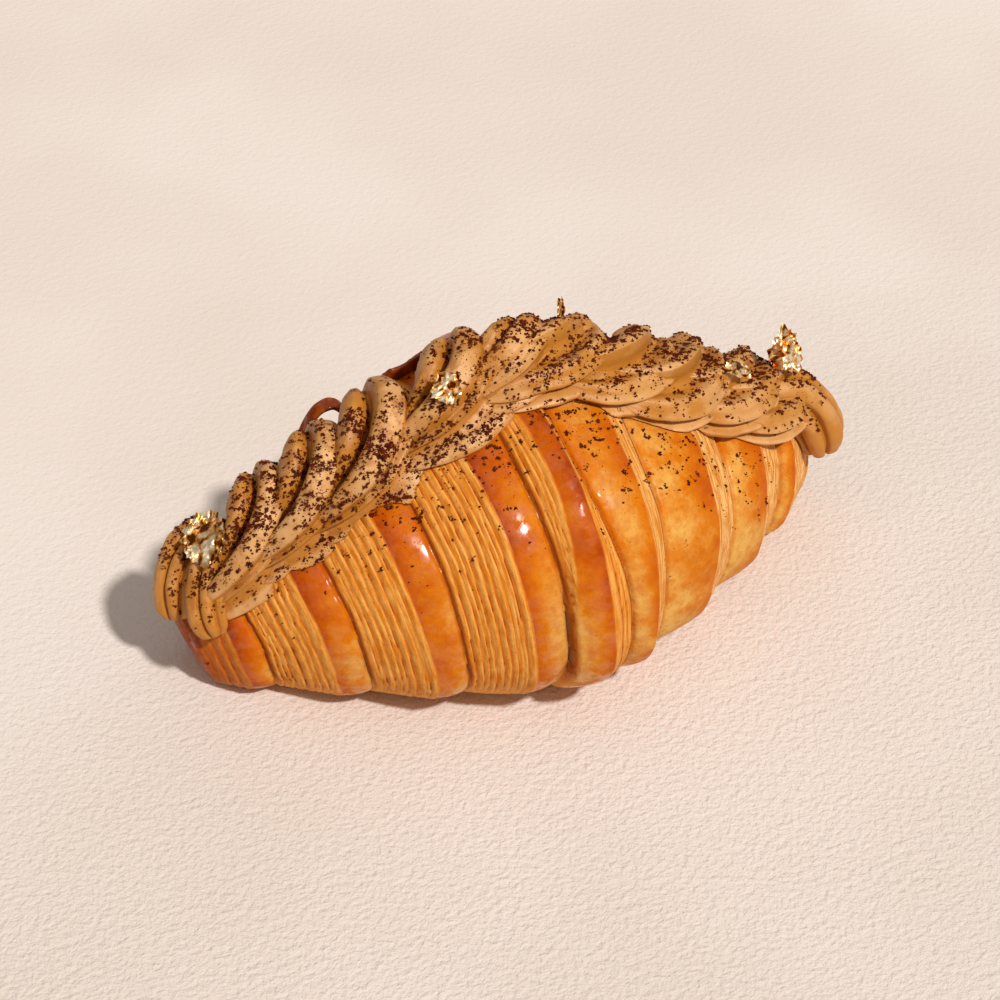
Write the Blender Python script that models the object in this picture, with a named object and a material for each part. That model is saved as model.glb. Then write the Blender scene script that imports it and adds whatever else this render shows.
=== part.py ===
"""Croissant topped with a rope of piped coffee cream, with crumpled gold leaf.

The long axis runs along X, the rounded front faces -Y and the table is Z = 0.
Three kinds of solid: the baked pastry, the piped cream and the pieces of gold leaf.
Lengths are in metres.
"""
import math

import bpy
import bmesh
from mathutils import Matrix, Vector, noise
from mathutils.bvhtree import BVHTree

MM = 0.001

# The pastry: a fat spindle with blunt ends, its two tips swept back a little.
HALF_LENGTH = 71.6 * MM
LEFT_END = -70.0 * MM
FRONT_WIDTH = 42.6 * MM
BACK_WIDTH = 34.0 * MM
HEIGHT = 66.4 * MM
TIP_HALF_WIDTH = 7.8 * MM
TIP_HEIGHT = 18.0 * MM
TIP_SWEEP = 10.5 * MM
WAIST = 0.44
TAPER = 1.37
ROUNDNESS = 2.28
LEAN = 0.06
FAN = 0.31
SKEW = 0.06
LEFT_FULLER = 0.05
SETTLE = 1.2 * MM

# The rolled turns, from the left tip to the right one. Each smooth turn is given by
# its two edges along the axis; between two turns the cut layers show as fine ridges.
# The relief fades under the cream, and towards the foot, which the tray kept flat.
TURNS = (
    (-65.0, -60.2),
    (-50.4, -44.2),
    (-33.9, -26.9),
    (-15.7, -8.4),
    (-4.6, -0.6),
    (3.0, 11.4),
    (15.9, 30.2),
    (38.6, 49.5),
    (58.8, 62.6),
)
RIDGES = (2, 6, 7, 8, 3, 3, 4, 5, 5, 2)
OUTER_TURN = 4
STEP = 1.5 * MM
BULGE = 0.45 * MM
RIDGE_HEIGHT = 0.42 * MM
WAVE = 0.9 * MM
CREAM_ANGLE = 97.0
CREAM_SPREAD = 30.0
CREAM_PRESS = 0.7
FOOT_FADE = 1.35
FOOT_START = 0.35
AROUND = 22

# The edge of the slit crust that stands up behind the cream, given by points along its
# foot (x, y) and how high it stands there, and the thin curl of crust at its left end.
LIP = (
    (-29.0, 19.5, 0.7), (-25.5, 19.0, 3.0), (-21.5, 18.5, 4.3), (-17.5, 18.0, 3.4),
    (-13.0, 18.0, 3.6), (-8.5, 18.0, 3.3), (-4.0, 17.5, 2.0), (-1.0, 17.5, 0.7),
)
LIP_THICKNESS = 1.8 * MM
CURL = (
    (-42.0, 20.0, 40.0), (-40.0, 20.6, 47.0), (-36.5, 20.8, 52.0), (-33.0, 20.4, 53.2),
    (-30.6, 20.0, 50.0), (-30.0, 19.6, 43.0),
)
CURL_WIDTH = 3.8 * MM
CURL_THICKNESS = 1.3 * MM

# The cream: ribbed shells piped from the right tip to the left one. Each starts behind
# the crest, swells over it and tapers to a tail at the front, under the next shell.
# A shell has its middle along the rope, its reach to the front, its size, its lift and
# its lay: 0 crosses the rope with round ribs, 1 runs along it with open, sharp ribs.
SHELLS = (
    (52.0, 7.5, 7.2, 0.4, 1.0),
    (41.5, 7.5, 7.6, 0.4, 1.0),
    (27.5, 8.6, 7.6, -0.8, 1.0),
    (15.0, 6.0, 7.6, -1.6, 1.0),
    (-1.0, 3.5, 7.7, -1.4, 0.95),
    (-5.5, 1.0, 7.0, 0.2, 0.35),
    (-17.0, 2.5, 8.0, 0.2, 0.1),
    (-34.0, 5.5, 8.0, 0.4, 0.0),
    (-46.5, 4.5, 7.6, 0.2, 0.0),
    (-58.0, 4.0, 7.2, 0.3, 0.0),
)
# The round humps behind the shells that run along the rope: middle, reach and size.
HUMPS = ((59.5, -3.5, 6.2), (43.0, -4.0, 5.7), (30.5, -4.5, 5.2), (16.5, -5.0, 5.2))
# A shell's path before and after its middle, as shares of the way: along the rope,
# across it and up, for a shell that crosses the rope and for one that runs along it.
CROSSING = ((6.0, -9.5, 0.0, 0.1), (5.5, -3.0, 0.0, 0.85), (3.0, 5.0, 1.0, 0.80), (-12.0, 2.5, 1.0, 0.10))
RUNNING = ((21.0, -6.5, 0.0, 1.1), (16.0, -1.0, 0.8, 0.6), (-2.0, 3.0, 1.4, 0.2), (-12.5, -3.0, 0.7, 0.10))
# The outline across a shell: angle from the lip side, and share of the size.
ROUND_RIBS = (
    (-60, 0.85), (-36, 0.95), (-18, 1.18), (-6, 1.50), (2, 1.66), (8, 1.58), (13, 1.10), (20, 0.92),
    (29, 0.84), (37, 0.90), (43, 1.16), (49, 1.20), (54, 1.02), (60, 1.12), (70, 1.34), (84, 1.38),
    (96, 1.26), (104, 0.84), (110, 0.38), (117, 0.38), (123, 0.80), (136, 1.00), (166, 0.94), (235, 0.80),
)
OPEN_RIBS = (
    (-60, 0.85), (-34, 0.92), (-14, 1.08), (-5, 1.30), (0, 1.32), (5, 1.12), (8, 0.86), (12, 0.90),
    (16, 1.20), (20, 1.27), (30, 1.18), (40, 1.14), (47, 1.10), (54, 0.86), (64, 0.64), (78, 0.58),
    (88, 0.70), (94, 1.04), (98, 1.27), (104, 1.27), (120, 1.16), (150, 1.06), (200, 0.92), (255, 0.80),
)
HUMP_OUTLINE = tuple((30 * k, 1.0 if k % 2 else 0.94) for k in range(12))
# The strand's start, draped over the right tip, and its two ends over the left tip.
DRAPED_ENDS = (
    (((58.0, 6.0, 33.0), (67.0, 6.5, 35.0), (74.5, 5.5, 29.0), (76.0, 3.0, 16.5)), 6.8, 6.2),
    (((-64.0, 14.0, 34.0), (-71.0, 13.0, 33.0), (-74.0, 11.0, 27.0), (-74.0, 9.0, 19.0)), 5.4, 4.6),
    (((-60.0, 7.0, 38.0), (-67.0, 6.5, 34.0), (-70.5, 2.5, 27.0), (-69.4, -1.0, 20.5)), 5.6, 4.6),
)
STAR_RIBS = 8
STAR_DEPTH = 0.24
ROPE_SIDE = 1.0 * MM
SIDE_DROP = 34.0
SHELL_STEPS = 9
HUMP_STEPS = 7
CORE_HALF_WIDTH = 5.5 * MM
CORE_HEIGHT = 4.5 * MM
CREAM_CLEARANCE = 0.8 * MM

# Gold leaf: where each piece is, the way it faces, its width and length, how deep it is
# crumpled, and whether it lies on the cream (or stands on it).
LEAVES = (
    ("gold_leaf_left", (-67.0, 9.4, 36.7), (-0.16, -0.67, 0.72), 8.8, 10.4, 1.3, True),
    ("gold_leaf_middle", (-18.0, -4.2, 70.4), (-0.16, -0.67, 0.72), 5.6, 5.8, 1.1, True),
    ("gold_leaf_flake", (50.6, -1.4, 49.0), (-0.1, -0.5, 0.86), 6.6, 3.4, 0.6, True),
    ("gold_leaf_strip", (11.2, 3.0, 75.0), (-0.3, -0.9, 0.2), 1.6, 5.0, 0.5, False),
    ("gold_leaf_right", (66.4, 5.8, 43.0), (-0.2, -0.88, 0.42), 7.2, 9.4, 1.6, False),
)
LEAF_THICKNESS = 0.3 * MM
LEAF_CELL = 1.5
LEAF_GAP = 0.45 * MM
LEAF_SMOOTHINGS = 6
CAST_HEIGHT = 20.0 * MM


# ---------------------------------------------------------------- the pastry's form

def spindle(s):
    """Front and back half width, height and backward sweep of the dough at station s."""
    along = s / HALF_LENGTH
    fall = 1.0 - min(abs(along), 1.0) ** TAPER
    fuller = 1.0 - LEFT_FULLER * along
    front = (TIP_HALF_WIDTH + (FRONT_WIDTH - TIP_HALF_WIDTH) * fall) * fuller
    back = (TIP_HALF_WIDTH + (BACK_WIDTH - TIP_HALF_WIDTH) * fall) * fuller
    height = (TIP_HEIGHT + (HEIGHT - TIP_HEIGHT) * fall) * fuller
    return front, back, height, TIP_SWEEP * along ** 2


def crust_point(s, angle, proud=0.0):
    """A point of the crust: angle 0 faces front, 90 degrees is the crest."""
    front, back, height, sweep = spindle(s)
    c = math.cos(angle)
    v = math.sin(angle)
    power = 2.0 / ROUNDNESS
    waist = WAIST * height
    reach = (height - waist if v > 0.0 else waist) + proud
    width = (front if c > 0.0 else back) + proud
    y = -width * math.copysign(abs(c) ** power, c)
    z = reach * math.copysign(abs(v) ** power, v)
    x = s + FAN * s / HALF_LENGTH * z - SKEW * y
    return Vector((x, y + sweep + LEAN * z, z + waist - SETTLE))


def crust_top(x, y):
    """Height of the smooth crust over a point of the plan, and its station."""
    s = x
    z = 0.0
    for _ in range(8):
        s = min(max(s, -HALF_LENGTH), HALF_LENGTH)
        front, back, height, sweep = spindle(s)
        out = y - sweep - LEAN * z
        across = min(abs(out) / (front if out < 0.0 else back), 1.0)
        z = (1.0 - WAIST) * height * (1.0 - across ** ROUNDNESS) ** (1.0 / ROUNDNESS)
        s = x - FAN * s / HALF_LENGTH * z + SKEW * out
    return z + WAIST * height - SETTLE, s


def turn_profile():
    """Stations of the turns and how far the crust stands proud at each."""
    rows = [(LEFT_END, 0.0)]
    for k, (start, end) in enumerate(TURNS):
        left = start * MM
        right = end * MM
        high_left = STEP if k <= OUTER_TURN else -STEP
        high_right = -STEP if k < OUTER_TURN else STEP
        rows.append((left, high_left))
        rows.append((right, high_right))
    rows.append((HALF_LENGTH, 0.0))
    return rows


def crust_stations():
    """Stations with their relief: two for each ridge and a few on each smooth turn."""
    rows = turn_profile()
    stations = []
    for zone in range(len(RIDGES)):
        start, low = rows[2 * zone]
        end, high = rows[2 * zone + 1]
        steps = 2 * RIDGES[zone]
        for i in range(steps):
            u = i / steps
            ridge = RIDGE_HEIGHT * (1.0 if i % 2 else -1.0)
            stations.append((start + (end - start) * u, low + (high - low) * u ** 0.8, ridge))
        if zone < len(TURNS):
            after, fallen = rows[2 * zone + 2]
            cuts = max(2, round((after - end) / (3.0 * MM)))
            for i in range(cuts):
                u = i / cuts
                bulge = BULGE * math.sin(math.pi * u)
                stations.append((end + (after - end) * u, high + (fallen - high) * u + bulge, 0.0))
    stations.append((HALF_LENGTH, 0.0, 0.0))
    return stations


def crust_ring(s, proud, ridge, clearance=0.0):
    """One ring of the crust, uneven as baked, with its relief low under the cream."""
    ring = []
    for i in range(AROUND):
        angle = 2.0 * math.pi * i / AROUND
        spot = Vector((s * 60.0, math.cos(angle) * 1.4, math.sin(angle) * 1.4))
        under_cream = math.exp(-((math.degrees(angle) - CREAM_ANGLE) / CREAM_SPREAD) ** 4)
        under_dough = min(max(0.0, -FOOT_FADE * math.sin(angle) - FOOT_START), 1.0)
        relief = proud + ridge * (0.75 + noise.noise(spot * 2.3)) + noise.noise(spot) * WAVE
        relief *= (1.0 - CREAM_PRESS * under_cream) * (1.0 - under_dough)
        point = crust_point(s, angle, relief + clearance)
        point.z = max(point.z, 0.0)
        ring.append(point)
    return ring


def loft(name, rings, first_dent=0.0, last_dent=0.0):
    """Closed body through rings of equal count, each end closed on a middle point."""
    shape = bmesh.new()
    rows = []
    for ring in rings:
        rows.append([shape.verts.new(point) for point in ring])
    count = len(rows[0])
    for a, b in zip(rows, rows[1:]):
        for i in range(count):
            j = (i + 1) % count
            shape.faces.new((a[i], a[j], b[j], b[i]))
    for row, dent, inner in ((rows[0], first_dent, rows[1]), (rows[-1], last_dent, rows[-2])):
        centre = sum((v.co for v in row), Vector()) / count
        towards = sum((v.co for v in inner), Vector()) / count - centre
        middle = shape.verts.new(centre + towards.normalized() * dent)
        for i in range(count):
            j = (i + 1) % count
            corners = (row[j], row[i], middle) if row is rows[0] else (row[i], row[j], middle)
            shape.faces.new(corners)
    bmesh.ops.recalc_face_normals(shape, faces=shape.faces)
    mesh = bpy.data.meshes.new(name)
    shape.to_mesh(mesh)
    shape.free()
    mesh.shade_smooth()
    part = bpy.data.objects.new(name, mesh)
    bpy.context.scene.collection.objects.link(part)
    return part


def shrunk(ring, share, shift):
    """A ring drawn in towards its middle and moved along X, for a rounded end."""
    centre = sum(ring, Vector()) / len(ring)
    return [centre + (point - centre) * share + Vector((shift, 0.0, 0.0)) for point in ring]


def pastry_body():
    """The rolled and baked dough, blunt at both tips."""
    rings = [crust_ring(*row) for row in crust_stations()]
    first = shrunk(rings[0], 0.86, -1.2 * MM)
    last = shrunk(rings[-1], 0.82, 1.4 * MM)
    first_end = shrunk(rings[0], 0.6, -1.0 * MM)
    last_end = shrunk(rings[-1], 0.5, 2.0 * MM)
    return loft("pastry", [first_end, first] + rings + [last, last_end], 1.2 * MM, 0.4 * MM)


# ---------------------------------------------------------------- the piped cream

def rope_line(x):
    """Where the middle of the rope of cream runs across the pastry."""
    return TIP_SWEEP * (x / HALF_LENGTH) ** 2 + ROPE_SIDE


def rope_place(x, across, rise):
    """A point over the crust: across is towards the front, rise above the crust."""
    middle = rope_line(x)
    level = max(crust_top(x, middle - across)[0], crust_top(x, middle)[0] - SIDE_DROP * across ** 2)
    return Vector((x, middle - across, level + rise))


def strand(name, path, radii, outward, outline, depths=None):
    """A ribbed strand of cream swept along a path, its ribs kept along it."""
    rings = []
    for i, (point, radius) in enumerate(zip(path, radii)):
        ahead = path[min(i + 1, len(path) - 1)] - path[max(i - 1, 0)]
        along = ahead.normalized()
        out = (outward[i] - along * outward[i].dot(along)).normalized()
        side = out.cross(along)
        ring = []
        for degrees, reach in outline:
            angle = math.radians(degrees)
            share = 1.0 + (reach - 1.0) * (depths[i] if depths else 1.0)
            ring.append(point + (out * math.sin(angle) + side * math.cos(angle)) * share * radius)
        rings.append(ring)
    return loft(name, rings)


def bezier(a, b, c, d, u):
    """A point of a cubic curve through a and d."""
    v = 1.0 - u
    return a * v ** 3 + b * 3.0 * u * v ** 2 + c * 3.0 * u ** 2 * v + d * u ** 3


def swell(u, lay):
    """How full a shell is along its length: a lens where it crosses, a bulb where it runs."""
    crossing = 0.28 + 0.82 * math.sin(math.pi * (0.12 + 0.84 * u)) ** 0.95
    running = 0.22 + 0.78 * math.sin(math.pi * u ** 0.85) ** 0.8
    return crossing + (running - crossing) * lay


def rib_depth(u, lay):
    """How deep the ribs are along a shell: they fade over the crest where it crosses."""
    share = min(max((u - 0.10) / 0.45, 0.0), 1.0)
    return 1.0 - (1.0 - lay) * 0.65 * (1.0 - share * share * (3.0 - 2.0 * share))


def between(one, other, share):
    """A row of numbers part of the way from one row to another."""
    return [a + (b - a) * share for a, b in zip(one, other)]


def cream_shell(index, middle, reach, size, lift, lay):
    """One shell: up from behind the crest, over it, and left along the front."""
    turns = []
    for crossing, running in zip(CROSSING, RUNNING):
        along, across, share, rise = between(crossing, running, lay)
        raised = lift if 0.5 < rise else 0.0
        turns.append(Vector((middle + along, across + share * reach, rise * size + raised)))
    path = []
    radii = []
    outward = []
    for i in range(SHELL_STEPS):
        u = i / (SHELL_STEPS - 1)
        spot = bezier(*turns, u) * MM
        path.append(rope_place(spot.x, spot.y, spot.z))
        radii.append(size * MM * swell(u, lay))
        outward.append(Vector((0.2, -0.05 * spot.y / MM, 1.0)))
    outline = [between(closed, opened, lay) for closed, opened in zip(ROUND_RIBS, OPEN_RIBS)]
    depths = [rib_depth(i / (SHELL_STEPS - 1), lay) for i in range(SHELL_STEPS)]
    return strand("shell_%d" % index, path, radii, outward, outline, depths)


def cream_hump(index, middle, reach, size):
    """A round hump of the strand where it turns at the back of the rope."""
    turns = [Vector((middle + 3.0, reach - 9.0, 0.1 * size)), Vector((middle + 3.0, reach - 6.0, size)),
             Vector((middle + 1.0, reach + 1.0, 1.1 * size)), Vector((middle - 4.0, reach + 7.0, 0.3 * size))]
    path = []
    radii = []
    for i in range(HUMP_STEPS):
        u = i / (HUMP_STEPS - 1)
        spot = bezier(*turns, u) * MM
        path.append(rope_place(spot.x, spot.y, spot.z))
        radii.append(size * MM * (0.45 + 0.55 * math.sin(math.pi * u)))
    outward = [Vector((0.2, 0.0, 1.0))] * HUMP_STEPS
    return strand("hump_%d" % index, path, radii, outward, HUMP_OUTLINE)


def draped_end(index, points, start_size, end_size):
    """A star strand that drapes over a tip of the pastry and ends blunt."""
    a, b, c, d = (Vector(point) * MM for point in points)
    outline = []
    for k in range(2 * STAR_RIBS):
        outline.append((180.0 * k / STAR_RIBS, 1.0 if k % 2 else 1.0 - STAR_DEPTH))
    path = []
    radii = []
    for i in range(SHELL_STEPS):
        u = i / (SHELL_STEPS - 1)
        path.append(bezier(a, b, c, d, u))
        blunt = 0.72 if i in (0, SHELL_STEPS - 1) else 1.0
        radii.append((start_size + (end_size - start_size) * u) * MM * blunt)
    outward = [Vector((math.copysign(0.6, a.x), -0.3, 1.0))] * SHELL_STEPS
    return strand("end_%d" % index, path, radii, outward, outline)


def rope_core():
    """The cream along the middle of the rope, under its shells."""
    rings = []
    for i in range(15):
        x = (-62.0 + 122.0 * i / 14) * MM
        ring = []
        for k in range(8):
            angle = 2.0 * math.pi * k / 8
            across = CORE_HALF_WIDTH * math.cos(angle)
            ring.append(rope_place(x, across, CORE_HEIGHT * math.sin(angle)))
        rings.append(ring)
    return loft("core", rings)


def crust_bed():
    """The crust's own form a little larger, to shape the underside of the cream."""
    rows = crust_stations()
    rings = []
    for i, (s, proud, ridge) in enumerate(rows):
        if ridge == 0.0 or i % 4 == 0:
            rings.append(crust_ring(s, proud, 0.0, CREAM_CLEARANCE))
    rings.insert(0, shrunk(rings[0], 0.9, -2.0 * MM))
    rings.append(shrunk(rings[-1], 0.8, 2.4 * MM))
    return loft("bed", rings)


def piped_cream():
    """The whole rope of cream as one body, shaped to the crust below it."""
    core = rope_core()
    pieces = [cream_shell(index, *row) for index, row in enumerate(SHELLS)]
    pieces += [cream_hump(index, *row) for index, row in enumerate(HUMPS)]
    pieces += [draped_end(index, *row) for index, row in enumerate(DRAPED_ENDS)]
    core.name = "piped_cream"
    join(core, pieces, solver="MANIFOLD")
    join(core, [crust_bed()], "DIFFERENCE", "MANIFOLD")
    keep_outside(core)
    return core


# ---------------------------------------------------------------- the raised crust

def crust_lip():
    """The thin edge of the slit crust, standing behind the cream."""
    rings = []
    for x, y, height in LIP:
        foot = crust_top(x * MM, y * MM)[0] - 2.0 * MM
        low = Vector((x * MM, y * MM, foot))
        rise = Vector((0.0, -0.12 * height * MM, height * MM + 2.0 * MM))
        thick = Vector((0.0, LIP_THICKNESS, 0.0))
        rings.append([low, low + thick * 1.6, low + rise * 0.6 + thick, low + rise + thick * 0.5,
                      low + rise * 0.95 - thick * 0.1])
    return loft("lip", rings)


def crust_curl():
    """A thin curl of crust that has lifted off, open underneath."""
    path = [Vector(point) * MM for point in CURL]
    rings = []
    for i, point in enumerate(path):
        along = (path[min(i + 1, len(path) - 1)] - path[max(i - 1, 0)]).normalized()
        wide = Vector((0.25, 0.9, 0.2)) * (0.5 * CURL_WIDTH * (1.0 - 0.09 * i))
        thick = along.cross(wide).normalized() * (0.5 * CURL_THICKNESS)
        rings.append([point + wide + thick, point - wide + thick, point - wide - thick, point + wide - thick])
    return loft("curl", rings)


# ---------------------------------------------------------------- the gold leaf

def ground_under(parts):
    """One surface to cast down on, from the parts that a leaf can lie on."""
    places = []
    faces = []
    for part in parts:
        first = len(places)
        places += [vertex.co.copy() for vertex in part.data.vertices]
        faces += [[first + i for i in face.vertices] for face in part.data.polygons]
    return BVHTree.FromPolygons(places, faces)


def highest_under(flat, out, side, up, ground):
    """The highest food within half a cell of a point of a lying sheet."""
    level = -CAST_HEIGHT
    for a in (-0.6, -0.3, 0.0, 0.3, 0.6):
        for b in (-0.6, -0.3, 0.0, 0.3, 0.6):
            start = flat + (side * a + up * b) * LEAF_CELL * MM + out * CAST_HEIGHT
            far = ground.ray_cast(start, -out)[3]
            if far is not None:
                level = max(level, CAST_HEIGHT - far)
    return level


def settled_levels(flats, out, side, up, ground):
    """How high a lying sheet must rise at each point, drawn taut over hollows."""
    levels = [[highest_under(flat, out, side, up, ground) for flat in row] for row in flats]
    last_row = len(flats) - 1
    last = len(flats[0]) - 1
    for _ in range(LEAF_SMOOTHINGS):
        for j in range(last_row + 1):
            for i in range(last + 1):
                near = [levels[max(j - 1, 0)][i], levels[min(j + 1, last_row)][i],
                        levels[j][max(i - 1, 0)], levels[j][min(i + 1, last)]]
                levels[j][i] = max(levels[j][i], sum(near) / 4.0)
    return levels


def standing_lift(points, side, out, ground):
    """How far an upright sheet must be lifted to clear the food below it."""
    straight_up = Vector((0.0, 0.0, 1.0))
    rises = [highest_under(point, straight_up, side, out, ground) for row in points for point in row]
    return straight_up * (max(rises) + LEAF_GAP)


def leaf_sheet(name, place, facing, width, length, crumple, lying, ground):
    """One thin crumpled piece of leaf, its two faces split into triangles alike."""
    out = Vector(facing).normalized()
    side = Vector((0.0, 0.0, 1.0)).cross(out).normalized()
    up = out.cross(side)
    columns = max(2, round(width / LEAF_CELL))
    steps = max(2, round(length / LEAF_CELL))
    flats = []
    folds = []
    for j in range(steps + 1):
        spots = [Vector((i / columns - 0.5, j / steps - 0.5, width)) for i in range(columns + 1)]
        ragged = [1.0 + 0.5 * noise.noise(spot * 2.6) for spot in spots]
        folds.append([(0.5 + noise.noise(spot * 4.1)) * crumple * MM for spot in spots])
        flats.append([Vector(place) * MM + (side * spot.x * width + up * spot.y * length) * share * MM
                      for spot, share in zip(spots, ragged)])
    if lying:
        levels = settled_levels(flats, out, side, up, ground)
        lower = [[flat + out * (level + max(fold, 0.0) + LEAF_GAP) for flat, level, fold in zip(*rows)]
                 for rows in zip(flats, levels, folds)]
    else:
        lower = [[flat + out * fold for flat, fold in zip(*rows)] for rows in zip(flats, folds)]
        lift = standing_lift(lower, side, out, ground)
        lower = [[point + lift for point in row] for row in lower]
    return sheet_body(name, lower, out * LEAF_THICKNESS)


def sheet_body(name, lower, thickness):
    """A closed thin body from a grid of points."""
    shape = bmesh.new()
    bottom = [[shape.verts.new(point) for point in row] for row in lower]
    top = [[shape.verts.new(point + thickness) for point in row] for row in lower]
    for grid in (bottom, top):
        for a, b in zip(grid, grid[1:]):
            for i in range(len(a) - 1):
                shape.faces.new((a[i], a[i + 1], b[i + 1]))
                shape.faces.new((a[i], b[i + 1], b[i]))
    edge = [(0, i) for i in range(len(lower[0]))]
    edge += [(j, len(lower[0]) - 1) for j in range(1, len(lower))]
    edge += [(len(lower) - 1, i) for i in range(len(lower[0]) - 2, -1, -1)]
    edge += [(j, 0) for j in range(len(lower) - 2, 0, -1)]
    for (j, i), (m, k) in zip(edge, edge[1:] + edge[:1]):
        shape.faces.new((bottom[j][i], bottom[m][k], top[m][k]))
        shape.faces.new((bottom[j][i], top[m][k], top[j][i]))
    bmesh.ops.recalc_face_normals(shape, faces=shape.faces)
    mesh = bpy.data.meshes.new(name)
    shape.to_mesh(mesh)
    shape.free()
    part = bpy.data.objects.new(name, mesh)
    bpy.context.scene.collection.objects.link(part)
    return part


# ---------------------------------------------------------------- joining and looks

def join(body, others, operation="UNION", solver="EXACT"):
    """Apply one Boolean of a body with a group of others, then remove the group."""
    group = bpy.data.collections.new(body.name + "_tools")
    for other in others:
        for owner in other.users_collection:
            owner.objects.unlink(other)
        group.objects.link(other)
    cut = body.modifiers.new("join", "BOOLEAN")
    cut.operation = operation
    cut.operand_type = "COLLECTION"
    cut.solver = solver
    cut.collection = group
    settled = bpy.data.meshes.new_from_object(body.evaluated_get(bpy.context.evaluated_depsgraph_get()))
    body.modifiers.clear()
    body.data = settled
    for other in others:
        bpy.data.objects.remove(other)
    bpy.data.collections.remove(group)


def keep_outside(part):
    """Keep a body's outer surface only: sealed hollows are filled and scraps dropped."""
    shape = bmesh.new()
    shape.from_mesh(part.data)
    waiting = set(shape.verts)
    groups = []
    while waiting:
        group = [waiting.pop()]
        for vertex in group:
            for edge in vertex.link_edges:
                beside = edge.other_vert(vertex)
                if beside in waiting:
                    waiting.remove(beside)
                    group.append(beside)
        groups.append(group)
    groups.sort(key=len)
    scraps = [vertex for group in groups[:-1] for vertex in group]
    bmesh.ops.delete(shape, geom=scraps, context="VERTS")
    shape.to_mesh(part.data)
    shape.free()


def finish(part, colour, roughness, metallic=0.0):
    """Give a part its own material."""
    material = bpy.data.materials.new(part.name)
    material.use_nodes = True
    surface = material.node_tree.nodes["Principled BSDF"]
    surface.inputs["Base Color"].default_value = (*colour, 1.0)
    surface.inputs["Roughness"].default_value = roughness
    surface.inputs["Metallic"].default_value = metallic
    part.data.materials.clear()
    part.data.materials.append(material)
    part.data.set_sharp_from_angle(angle=math.radians(48.0))


def centre_on_table(parts):
    """Bring the middle of the whole, seen from above, to the origin and its base to zero."""
    corners = [vertex.co for part in parts for vertex in part.data.vertices]
    low = Vector([min(corner[k] for corner in corners) for k in range(3)])
    high = Vector([max(corner[k] for corner in corners) for k in range(3)])
    shift = Matrix.Translation(Vector((-(low.x + high.x) / 2.0, -(low.y + high.y) / 2.0, -low.z)))
    for part in parts:
        part.data.transform(shift)


def main():
    for old in list(bpy.data.objects):
        bpy.data.objects.remove(old)
    pastry = pastry_body()
    join(pastry, [crust_lip(), crust_curl()])
    cream = piped_cream()
    ground = ground_under([pastry, cream])
    leaves = [leaf_sheet(*row, ground) for row in LEAVES]
    finish(pastry, (0.62, 0.27, 0.07), 0.38)
    finish(cream, (0.66, 0.41, 0.19), 0.45)
    for leaf in leaves:
        finish(leaf, (0.90, 0.66, 0.26), 0.22, 1.0)
    centre_on_table([pastry, cream] + leaves)


main()
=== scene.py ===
"""A butter croissant crossed by a rope of piped coffee cream, with gold leaf and cocoa."""
import math

import bmesh
import bpy
import numpy as np
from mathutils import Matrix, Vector, noise
from mathutils.bvhtree import BVHTree


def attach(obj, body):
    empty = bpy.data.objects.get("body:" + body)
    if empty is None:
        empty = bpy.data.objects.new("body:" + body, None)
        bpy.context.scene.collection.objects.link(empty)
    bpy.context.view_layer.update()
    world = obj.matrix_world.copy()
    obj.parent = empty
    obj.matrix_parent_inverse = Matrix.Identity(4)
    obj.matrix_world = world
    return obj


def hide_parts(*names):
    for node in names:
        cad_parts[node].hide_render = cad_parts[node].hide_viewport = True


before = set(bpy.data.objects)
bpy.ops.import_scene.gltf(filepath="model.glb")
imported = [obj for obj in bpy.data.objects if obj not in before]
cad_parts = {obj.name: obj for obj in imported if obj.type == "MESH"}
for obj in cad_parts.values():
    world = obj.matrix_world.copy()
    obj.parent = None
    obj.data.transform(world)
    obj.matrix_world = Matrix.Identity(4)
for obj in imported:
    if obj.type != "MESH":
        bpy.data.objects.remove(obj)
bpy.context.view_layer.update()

# ---------------------------------------------------------------- the baked pastry
# One roll of laminated butter dough, fat in the middle and blunt at both tips. It was
# rolled up in turns: each smooth egg-washed turn laps over the one beyond it, and the
# cut edge of its layers shows as fine pale ridges that face the nearer tip.
MM = 0.001
TO_TABLE = np.array([-1.47, 4.44, 0.0])
HALF_LENGTH = 71.6
LEFT_END = -70.0
FRONT_WIDTH, BACK_WIDTH, HEIGHT = 42.6, 34.0, 66.4
TIP_HALF_WIDTH, TIP_HEIGHT, TIP_SWEEP = 7.8, 18.0, 10.5
WAIST, TAPER, ROUNDNESS = 0.44, 1.37, 2.28
LEAN, FAN, SKEW, LEFT_FULLER, SETTLE = 0.06, 0.31, 0.06, 0.05, 1.2
TURNS = ((-65.0, -60.2), (-50.4, -44.2), (-33.9, -26.9), (-15.7, -8.4), (-4.6, -0.6),
         (3.0, 11.4), (15.9, 30.2), (38.6, 49.5), (58.8, 62.6))
LAYERS = (3, 8, 9, 10, 4, 3, 5, 8, 7, 3)
OUTER_TURN = 4
ASKEW = {4: (0.0, -3.2), 5: (-2.0, 2.4)}  # how far a turn's left edge strays, at the crest and the foot
STEP, BULGE, WAVE, FINE_WAVE, EDGE_SOFTNESS = 1.5, 0.45, 0.9, 0.06, 0.25
WANDER, FINE_WANDER = 0.45, 0.15
LEFT_RIDGE, RIGHT_RIDGE = 0.46, 0.12
LAYER_SEED, LAYER_WIDTHS, LAYER_STRENGTHS = 5, (0.55, 1.45), (0.6, 1.15)
LAYER_STRAY, FINE_STRAY = 0.30, 0.05
RIGHT_HOLLOW = 0.35
CREASE_DEPTH, CREASE_WIDTH = 0.9, 0.5
CREAM_ANGLE, CREAM_SPREAD, CREAM_PRESS = 97.0, 30.0, 0.7
FOOT_FADE, FOOT_START = 1.35, 0.35
CRUST_PITCH = 0.27
CRUST_AROUND = 288


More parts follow.
